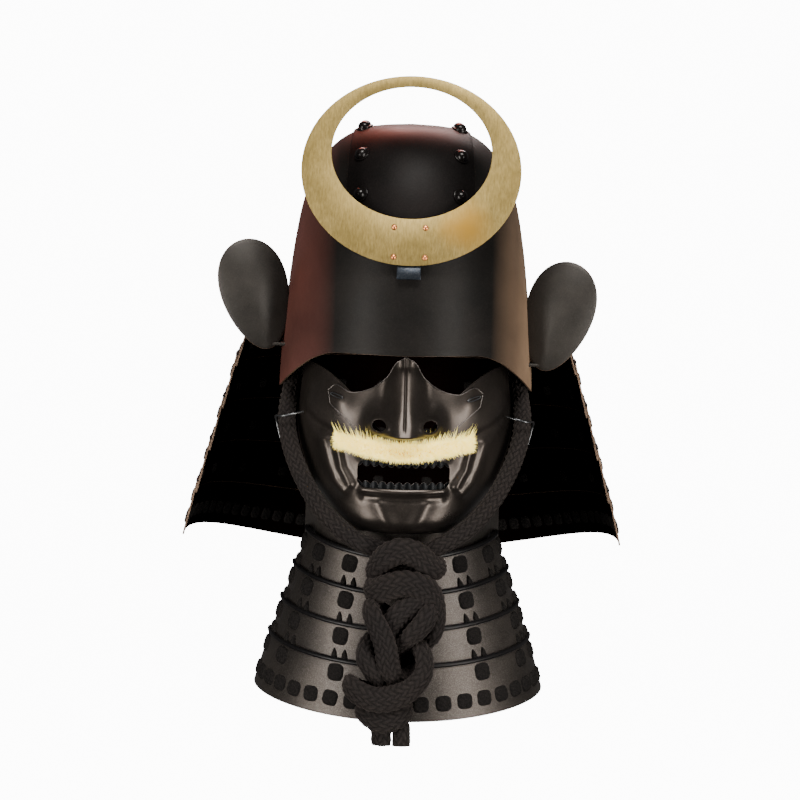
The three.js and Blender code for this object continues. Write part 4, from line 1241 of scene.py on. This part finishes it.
# Raised and sunk lines: places as shares of the mask's half width and height, then width and rise in metres.
mask_lines = [
    (((0.62, 0.22), (0.84, 0.28)), 0.013, 0.005),
    (((0.95, 0.29), (0.80, 0.37), (0.60, 0.43)), 0.0036, -0.0045),
    (((0.74, 0.46), (0.68, 0.59), (0.61, 0.69), (0.54, 0.74)), 0.0055, 0.0066),
    (((0.60, 0.50), (0.56, 0.61), (0.48, 0.70)), 0.0038, 0.0048),
    (((0, 0.53), (0.36, 0.53)), 0.005, 0.003),
    (((0, 0.735), (0.36, 0.73)), 0.0036, 0.0038),
    (((0, 0.78), (0.34, 0.77)), 0.0045, -0.0030),
    (((0.21, 0.81), (0.10, 0.97)), 0.0075, 0.0028),
]


def mask_relief(x, height):
    spot_x, spot_down = abs(x), height - mask_top
    rise = 0.0
    for places, width, lift in mask_lines:
        nearest = 1.0
        for (from_x, from_down), (to_x, to_down) in zip(places, places[1:]):
            start_x, start_down = from_x * mask_half_width, from_down * mask_height
            run_x, run_down = to_x * mask_half_width - start_x, to_down * mask_height - start_down
            along = ((spot_x - start_x) * run_x + (spot_down - start_down) * run_down) / (
                run_x**2 + run_down**2
            )
            along = min(max(along, 0), 1)
            off = math.hypot(spot_x - start_x - run_x * along, spot_down - start_down - run_down * along)
            nearest = min(nearest, off)
        rise += lift * math.exp(-((nearest / width) ** 2))
    return rise


def mask_y(x, height):
    down = (height - mask_top) / mask_height
    half = mask_half_width * float(mask_half(down))
    lean = math.sqrt(max(1 - (x / half) ** 2, 0))
    back = mask_depth * float(mask_rear(down))
    front = mask_depth * float(mask_front(down))
    return -mask_back - back - (front - back) * lean - mask_relief(x, height) * lean


cheek_edge = read_table(
    [(0, 0.4), (0.2, 0.38), (0.37, 0.26), (0.5, 0.17), (0.69, 0.08), (0.85, 0.035), (1, 0.02)]
)


def mask_point(i, j):
    angle = (i / 200 - 0.5) * math.pi
    across = math.sin(angle)
    start = max(float(cheek_edge(abs(across))), 0)
    down = start + (1 - start) * j / 130
    height = mask_top + down * mask_height
    x = mask_half_width * float(mask_half(down)) * across
    return Vector((x, mask_y(x, height), -height))


def cut_hole(piece, outline, near, far):
    """Cuts a hole with a bar whose outline is given in the front view, between two depths."""
    mesh = bpy.data.meshes.new("bar")
    count = len(outline)
    points = [(x, near, z) for x, z in outline] + [(x, far, z) for x, z in outline]
    faces = [tuple(range(count)), tuple(reversed(range(count, 2 * count)))]
    faces += [(k, k + count, (k + 1) % count + count, (k + 1) % count) for k in range(count)]
    mesh.from_pydata(points, [], faces)
    bar = bpy.data.objects.new("bar", mesh)
    bpy.context.scene.collection.objects.link(bar)
    edit(bar)
    bpy.ops.mesh.select_all(action="SELECT")
    bpy.ops.mesh.normals_make_consistent(inside=False)
    bpy.ops.object.mode_set(mode="OBJECT")
    knife = piece.modifiers.new("hole", "BOOLEAN")
    knife.operation = "DIFFERENCE"
    knife.solver = "EXACT"
    knife.object = bar
    deselect_all()
    bpy.context.view_layer.objects.active = piece
    piece.select_set(True)
    bpy.ops.object.modifier_apply(modifier="hole")
    bpy.data.objects.remove(bar)


def thicken(piece, wall):
    solid = piece.modifiers.new("wall", "SOLIDIFY")
    solid.thickness = wall
    solid.offset = -1
    solid.use_even_offset = False
    solid.material_offset_rim = 1
    solid.material_offset = 2
    apply_modifiers(piece)


def round_edges(piece, width, angle=60):
    edge = piece.modifiers.new("edge", "BEVEL")
    edge.width = width
    edge.segments = 2
    edge.limit_method = "ANGLE"
    edge.angle_limit = math.radians(angle)
    edge.use_clamp_overlap = True
    edge.material = 1
    apply_modifiers(piece)
    bpy.ops.object.shade_smooth_by_angle(angle=math.radians(42))


mouth_half_width = 0.039
mouth_top = 0.279
mouth_height = 0.024
mouth_corner = 0.007
mask_bronze = grained_steel(
    "mask_steel",
    (0.022, 0.0185, 0.0165),
    (0.042, 0.035, 0.0305),
    0.8,
    0.31,
    specks=0.02,
    grain=1800,
    shine=0.12,
)
# The edge finish is about twice as light as the mask steel: a painted highlight along cut edges, nose beads and
# tooth rims.
mask_edge_painted_highlight = grained_steel("mask_edge_painted_highlight", (0.05, 0.045, 0.043), (0.09, 0.08, 0.075), 0.9, 0.35)
mask = laid_grid("mask_face", 200, 130, mask_point)
for finish in (mask_bronze, mask_edge_painted_highlight, inside_painted_shade):
    mask.data.materials.append(finish)
thicken(mask, mask_wall)
mouth_outline = []
for k, (sx, sz) in enumerate(((1, 1), (-1, 1), (-1, -1), (1, -1))):
    for i in range(9):
        turn = math.pi / 2 * (k + i / 8)
        mouth_outline.append(
            (
                sx * (mouth_half_width - mouth_corner) + mouth_corner * math.cos(turn),
                -mouth_top - mouth_height / 2 + sz * (mouth_height / 2 - mouth_corner) + mouth_corner * math.sin(
                    turn
                ),
            )
        )
cut_hole(mask, mouth_outline, -0.2, -0.05)
round_edges(mask, 0.0005)
settle(mask, "mask_steel", "mask_shell")

# Nose plate. A thinner plate over the bridge, with a ridge, two nostrils and a pointed wing to each side.
# A wire pin through each wing holds it to the mask.
nose_tip = 0.257
nose_rise = 0.027
nose_half_width = 0.066
nostril_apart = 0.043
nostril_width = 0.012
nostril_height = 0.010
nose_wall = 0.0012
face_gap = 0.0006
nose_upper = read_table(
    [(0, -0.06), (0.13, -0.02), (0.23, 0.06), (0.44, 0.135), (0.7, 0.165), (0.9, 0.13), (1, 0.165)]
)
nose_lower = read_table(
    [(0, 0.42), (0.35, 0.415), (0.62, 0.4), (0.72, 0.335), (0.88, 0.275), (0.98, 0.23), (1, 0.175)]
)


def smooth_step(value, low, high):
    t = min(max((value - low) / (high - low), 0), 1)
    return t * t * (3 - 2 * t)


def nose_rise_at(x, height):
    along = min(max((height - mask_top + 0.010) / (nose_tip - mask_top + 0.010), 0), 1)
    under = 1 - smooth_step(height, nose_tip - 0.002, nose_tip + 0.005)
    ridge = nose_rise * (0.3 + 0.7 * along**1.3) * math.exp(-(abs(x / (0.0118 + 0.0035 * along)) ** 3.2))
    wing = 0.46 * nose_rise * math.exp(-(((abs(x) - 0.5 * nostril_apart) / 0.010) ** 2))
    wing *= math.exp(-(((height - nose_tip + 0.009) / 0.011) ** 2))
    crease = 0.0012 * math.exp(-((x / 0.0009) ** 2)) * smooth_step(nose_tip - height, 0.004, 0.012)
    rim_run = math.hypot(abs(x) - nostril_apart / 2, (height - nose_tip + 0.009) * 1.2) / (
        nostril_width / 2
    )
    rim = 0.0014 * math.exp(-(((rim_run - 1.25) / 0.3) ** 2))
    return (ridge + wing - crease) * under + rim


def nose_y(x, height):
    return mask_y(x, max(height, mask_top)) - 1.6 * face_gap - nose_wall - nose_rise_at(x, height)


def nose_point(i, j):
    step = 2 * i / 180 - 1
    across = math.copysign(abs(step) ** 1.35, step)
    upper, lower = float(nose_upper(abs(across))), float(nose_lower(abs(across)))
    height = mask_top + (upper + (lower - upper) * j / 88) * mask_height
    x = across * nose_half_width
    return Vector((x, nose_y(x, height), -height))


nose = laid_grid("mask_nose", 180, 88, nose_point)
for finish in (mask_bronze, mask_edge_painted_highlight, inside_painted_shade):
    nose.data.materials.append(finish)
thicken(nose, nose_wall)
for side in (-1, 1):
    nostril = []
    for k in range(24):
        turn = 2 * math.pi * k / 24
        nostril.append(
            (
                side * nostril_apart / 2 + nostril_width / 2 * math.cos(turn),
                -nose_tip + 0.009 + nostril_height / 2 * math.sin(turn),
            )
        )
    cut_hole(nose, nostril, -0.2, -0.05)
round_edges(nose, 0.00045)
# Beads along the nose plate's upper and lower edges carry the lighter edge finish, a painted highlight.
nose_beads = []
for j in (0, 88):
    line = [nose_point(i, j) + Vector((0, -0.0002, 0)) for i in range(0, 181, 2)]
    nose_beads.append(edge_roll("bead", line, 0.00045, mask_edge_painted_highlight))
join_into(nose, nose_beads)
settle(nose, "mask_steel", "nose_plate")

bright_wire = grained_steel(
    "bright_wire", (0.06, 0.063, 0.068), (0.12, 0.125, 0.13), 0.95, 0.30, specks=0.02
)
for side, word in ((-1, "right"), (1, "left")):
    height = mask_top + 0.19 * mask_height
    ends = []
    for step in (-1, 1):
        x = 0.89 * nose_half_width + step * 0.0055
        level = height - step * 0.0013
        ends.append((x, nose_y(x, level) - 0.0011, level))
    loop = []
    for k in range(25):
        turn = 2 * math.pi * k / 24
        share = (1 - math.cos(turn)) / 2
        x = ends[0][0] + (ends[1][0] - ends[0][0]) * share
        y = ends[0][1] + (ends[1][1] - ends[0][1]) * share - 0.0004
        z = -(ends[0][2] + (ends[1][2] - ends[0][2]) * share) + 0.0013 * math.sin(turn)
        loop.append((side * x, y, z))
    pin = edge_roll(f"mask_pin_{word}", loop, 0.0006, bright_wire)
    settle(pin, "wire_steel", f"nose_pin_{word}")

# Teeth. Two thin scalloped strips of bright steel are riveted behind the lips, tips towards each other.
tooth_count = 12
tooth_height = 0.006
# The tooth steel is painted near black, as painted shade inside the mouth.
tooth_steel_painted_shade = grained_steel(
    "tooth_steel_painted_shade", (0.0015, 0.0017, 0.002), (0.004, 0.0045, 0.0055), 0.5, 0.35, specks=0.002, shine=0.1
)
for name, node, root, towards in (
    ("teeth_above", "teeth_upper", mouth_top, 1),
    ("teeth_below", "teeth_lower", mouth_top + mouth_height, -1),
):

    def tooth_point(i, j):
        u = i / 144
        x = (u - 0.5) * 2 * (mouth_half_width + 0.003)
        tip = abs(math.sin(u * tooth_count * math.pi)) ** 0.8 * tooth_height * 0.5 + tooth_height * 0.5
        tooth, base = root + towards * tip, root - towards * 0.006
        share = j / 8
        height = tooth + (base - tooth) * share if towards < 0 else base + (tooth - base) * share
        bulge = 0.0008 * abs(math.sin(u * tooth_count * math.pi))
        return Vector(
            (x, mask_y(x, height) + mask_wall + face_gap + mask_relief(x, height) * 0.6 - bulge, -height)
        )

    teeth = laid_grid(name, 144, 8, tooth_point)
    # The tooth rims take the lighter edge finish as a painted glint.
    give_wall(teeth, 0.001, (tooth_steel_painted_shade, mask_edge_painted_highlight, tooth_steel_painted_shade), bevel=0.0002)
    settle(teeth, "wire_steel", node)

# Lip lacquer. A little red lacquer is left on the upper lip, just below the moustache.
# It lies on the mask's surface as a thin patch.
lip_patch = laid_grid(
    "lip_lacquer",
    40,
    6,
    lambda i, j: Vector(
        (
            (x := (i / 20 - 1) * 0.014),
            mask_y(x, h := mouth_top - 0.0050 + 0.0046 * j / 6) - 0.0003,
            -h,
        )
    ),
)
lip_red, tree, shader = new_finish("red_lacquer", (0.32, 0.010, 0.008), 0, 0.35)
give_wall(lip_patch, 0.0004, (lip_red, lip_red, lip_red), bevel=0.0001)
settle(lip_patch, "mask_steel")

# Moustache. Cream fur on a backing strip over the upper lip. Its hairs are thick and short, and they are
# swept up and outwards.
moustache_half = 0.060
moustache_height = 0.017
hair_count = 7500
rng = np.random.default_rng(7)


def moustache_middle(share):
    return mouth_top - 0.008 - 0.007 * abs(share) ** 1.5


def fur_front(x, height):
    face = mask_y(x, height)
    if height < nose_tip + 0.0065:
        face = min(face, nose_y(x, height))
    return face


fur_pad = laid_grid(
    "moustache_backing",
    60,
    12,
    lambda i, j: Vector(
        (
            (x := (i / 60 * 2 - 1) * moustache_half * 0.98),
            fur_front(x, h := moustache_middle(i / 60 * 2 - 1) + (j / 12 - 0.5) * moustache_height * 0.66)
            - 0.0012
            - 0.0045 * math.sqrt(max(1 - (j / 6 - 1) ** 2, 0)) * math.sqrt(max(1 - (i / 30 - 1) ** 8, 0)),
            -h,
        )
    ),
)
hair_points, hair_faces = [], []
for _ in range(hair_count):
    share = rng.uniform(-1, 1)
    level = rng.uniform(-1, 1)
    x = share * moustache_half * 0.97
    half = moustache_height / 2 * (1 - 0.2 * share**2)
    height = moustache_middle(share) + level * half * 0.66
    depth = 0.0012 + 0.0046 * math.sqrt(max(1 - level**2, 0)) * rng.uniform(0.5, 1)
    root = np.array((x, fur_front(x, height) - depth, -height))
    out = np.array(
        (
            0.55 * share + rng.normal(0, 0.22),
            -0.62 - rng.uniform(0, 0.3),
            -0.75 * level + 0.1 + rng.normal(0, 0.3),
        )
    )
    if rng.uniform() < 0.09 and level < -0.2:
        out[2] += 1.1
        length = rng.uniform(0.006, 0.012)
    else:
        length = rng.uniform(0.0028, 0.0056) * (1.15 - 0.25 * abs(level))
    out /= np.linalg.norm(out)
    across = np.cross(out, (0.1, 0.2, 1))
    across /= np.linalg.norm(across)
    other = np.cross(out, across)
    droop = np.array((0.25 * share, 0.25, -0.35 * level)) * length
    start = len(hair_points)
    thick = rng.uniform(0.0002, 0.00034)
    for part, size in ((0, 1), (0.55, 0.75)):
        centre = root + out * length * part + droop * part**2
        for k in range(3):
            turn = 2 * math.pi * k / 3
            hair_points.append(centre + thick * size * (math.cos(turn) * across + math.sin(turn) * other))
    hair_points.append(root + out * length + droop)
    for k in range(3):
        n = (k + 1) % 3
        hair_faces.append((start + k, start + n, start + 3 + n, start + 3 + k))
        hair_faces.append((start + 3 + k, start + 3 + n, start + 6))
hair_mesh = bpy.data.meshes.new("moustache_hair")
hair_mesh.from_pydata([tuple(point) for point in hair_points], [], hair_faces)
hair = bpy.data.objects.new("moustache_hair", hair_mesh)
bpy.context.scene.collection.objects.link(hair)
hair_mesh.shade_smooth()
cream_fur_painted_glow, tree, shader = new_finish("cream_fur", (0.80, 0.70, 0.42), 0, 0.75)
# The fur glows with its own colour at strength 0.8: painted light.
shader.inputs["Emission Strength"].default_value = 0.8
place_map = add_node(tree, "ShaderNodeTexCoord")
tufts = add_node(
    tree, "ShaderNodeTexNoise", Vector=place_map.outputs["Object"], Scale=420, Detail=5, Roughness=0.75
)
tone = colour_ramp(
    tree,
    tufts.outputs["Fac"],
    [(0.34, (0.70, 0.54, 0.12)), (0.49, (1.0, 0.82, 0.20)), (0.63, (1.0, 0.93, 0.42))],
)
tree.links.new(tone, shader.inputs["Base Color"])
tree.links.new(tone, shader.inputs["Emission Color"])
hair_mesh.materials.append(cream_fur_painted_glow)
# The backing is painted dark yellow-brown as the shade between the hairs.
fur_shade = new_finish("fur_shade", (0.42, 0.27, 0.06), 0, 0.9)[0]
fur_pad.data.materials.append(fur_shade)
deselect_all()
fur_pad.select_set(True)
bpy.context.view_layer.objects.active = fur_pad
bpy.ops.object.shade_smooth()
settle(fur_pad, "moustache_fur", "moustache")
settle(hair, "moustache_fur")

# Cord hooks. A bent steel wire on each cheek reaches round the cord and turns down behind it.
hook_route = [
    (88, -66.5, -246),
    (97, -72, -247.5),
    (106, -71, -249.5),
    (112, -62, -251),
    (111.5, -57, -256),
    (108, -57, -271),
]
for side, word in ((-1, "right"), (1, "left")):
    line = evenly(curve_points([(side * x / 1000, y / 1000, z / 1000) for x, y, z in hook_route], 20), 0.0008)
    hook = edge_roll(f"cheek_hook_{word}", [tuple(point) for point in line], 0.001, bright_wire)
    settle(hook, "wire_steel", f"cord_hook_{word}")

# Throat guard. A top lame is riveted inside the chin and four wider ones hang below it, each with a rounded
# rim along its top edge. Flat cord pads lace them together, with a close row along the lowest edge.
throat_top = 0.356
throat_side_height = 0.141
throat_top_half, throat_bottom_half = 0.082, 0.130
throat_top_depth, throat_bottom_depth = 0.063, 0.097
throat_back = 0.025
throat_lames = 4
throat_last_height = 0.048
throat_overlap = 0.009
throat_dip = 0.012
gunmetal = grained_steel(
    "gunmetal",
    (0.022, 0.0193, 0.0178),
    (0.040, 0.0345, 0.0308),
    0.8,
    0.42,
    specks=0.04,
    grain=1500,
    shine=0.12,
)
rim_black = grained_steel(
    "rim_black", (0.0030, 0.0030, 0.0034), (0.006, 0.0055, 0.006), 0.3, 0.36, specks=0.003, shine=0.15
)


def throat_point(u, width, depth, drop):
    angle = (u - 0.5) * math.pi
    dip = throat_dip * (1 - 0.4 * drop / throat_side_height) * math.cos(angle) ** 2
    return Vector(
        (width * math.sin(angle), -throat_back - depth * math.cos(angle), -throat_top - drop - dip)
    )


def throat_top_point(u, v):
    side = math.copysign(1, u - 0.5)
    place = abs(2 * u - 1)
    turn = math.pi / 2 * min(place / 0.3, 1)
    down = 1 if place < 0.3 else 1 + (0.62 - 1) * (place - 0.3) / 0.7
    inside = mask_wall + face_gap
    back = mask_depth * float(mask_rear(down))
    reach = mask_depth * float(mask_front(down)) - back - inside
    width = mask_half_width * float(mask_half(down)) - inside
    rim = Vector(
        (
            side * width * math.sin(turn),
            -mask_back - back - reach * math.cos(turn),
            -mask_top - down * mask_height + 0.003,
        )
    )
    bend = math.pi / 2 * min(place / 0.84, 1)
    wing = max(place - 0.84, 0) / 0.16
    end = throat_point(0.5, 0, 0, 0.022)
    end.x = side * ((throat_top_half - 0.005) * math.sin(bend) + 0.011 * wing)
    end.y = -throat_back - (throat_top_depth - 0.007) * math.cos(bend) + 0.019 * wing
    return rim.lerp(end, v)


throat_pitch = (throat_side_height - throat_last_height) / (throat_lames - 1)


def throat_lame(number):
    top = (number - 1) * throat_pitch
    bottom = top + throat_pitch + throat_overlap if number < throat_lames else throat_side_height

    def place(u, v):
        drop = top + (bottom - top) * v
        share = drop / throat_side_height
        width = throat_top_half + (throat_bottom_half - throat_top_half) * share
        depth = throat_top_depth + (throat_bottom_depth - throat_top_depth) * share
        return throat_point(u, width + lame_lift * (1 - v), depth + lame_lift * (1 - v), drop)

    return place


throat_places = [throat_top_point] + [throat_lame(number) for number in range(1, throat_lames + 1)]
for number, place in enumerate(throat_places):
    word = "top" if number == 0 else str(number)
    lame = laid_grid(f"throat_guard_lame_{word}", 108, 10, lambda i, j: place(i / 108, j / 10))
    give_wall(lame, plate, (gunmetal, rim_black, inside_painted_shade), bevel=0.0004)
    if number > 0:
        rim = [surface_frame(place, u, 0.0, 0.0004)[0] for u in np.linspace(0, 1, 109)]
        join_into(lame, [edge_roll("rim", rim, 0.0021, rim_black)])
    settle(lame, "lame_steel", f"throat_lame_{word}")

pads, leaves = [], []
pad_columns = {
    1: (0.045, 0.19, 0.33, 0.70, 0.84, 0.965),
    2: (0.045, 0.185, 0.34, 0.70, 0.86, 0.965),
    3: (0.045, 0.175, 0.345, 0.705, 0.89, 0.965),
    4: (0.045, 0.17, 0.35, 0.71, 0.86, 0.95),
}
for number, columns_here in pad_columns.items():
    place = throat_places[number]
    for u in columns_here:
        pads.append(
            (
                surface_frame(place, u, 0.27 if number < throat_lames else 0.22),
                0.0155,
                0.016,
                0.0034,
                rng.normal(0, 0.05),
            )
        )
        if number < throat_lames:
            for shift in (-0.0048, 0.0048):
                here, right, up, out = surface_frame(place, u, 0.70)
                leaves.append(
                    ((here + right * (shift + 0.002), right, up, out), 0.0078, 0.0140, 0.0034, 0.12)
                )
for u in np.linspace(0.04, 0.96, 19):
    pads.append(
        (surface_frame(throat_places[-1], float(u), 0.69), 0.0148, 0.0142, 0.0034, rng.normal(0, 0.05))
    )
sew_on("throat_guard_pads", square_pad, pads, lacing_finish, "cord_braid")
sew_on("throat_guard_strands", leaf_pad, leaves, lacing_finish, "cord_braid")
bpy.data.objects.remove(square_pad)
bpy.data.objects.remove(leaf_pad)

# Lugs. The two small steel lugs inside the bowl that the cord is tied to keep their plain shape.
for word in ("left", "right"):
    lug = bpy.data.objects[f"cord_lug_{word}"]
    for slot in lug.material_slots:
        slot.material = bright_wire
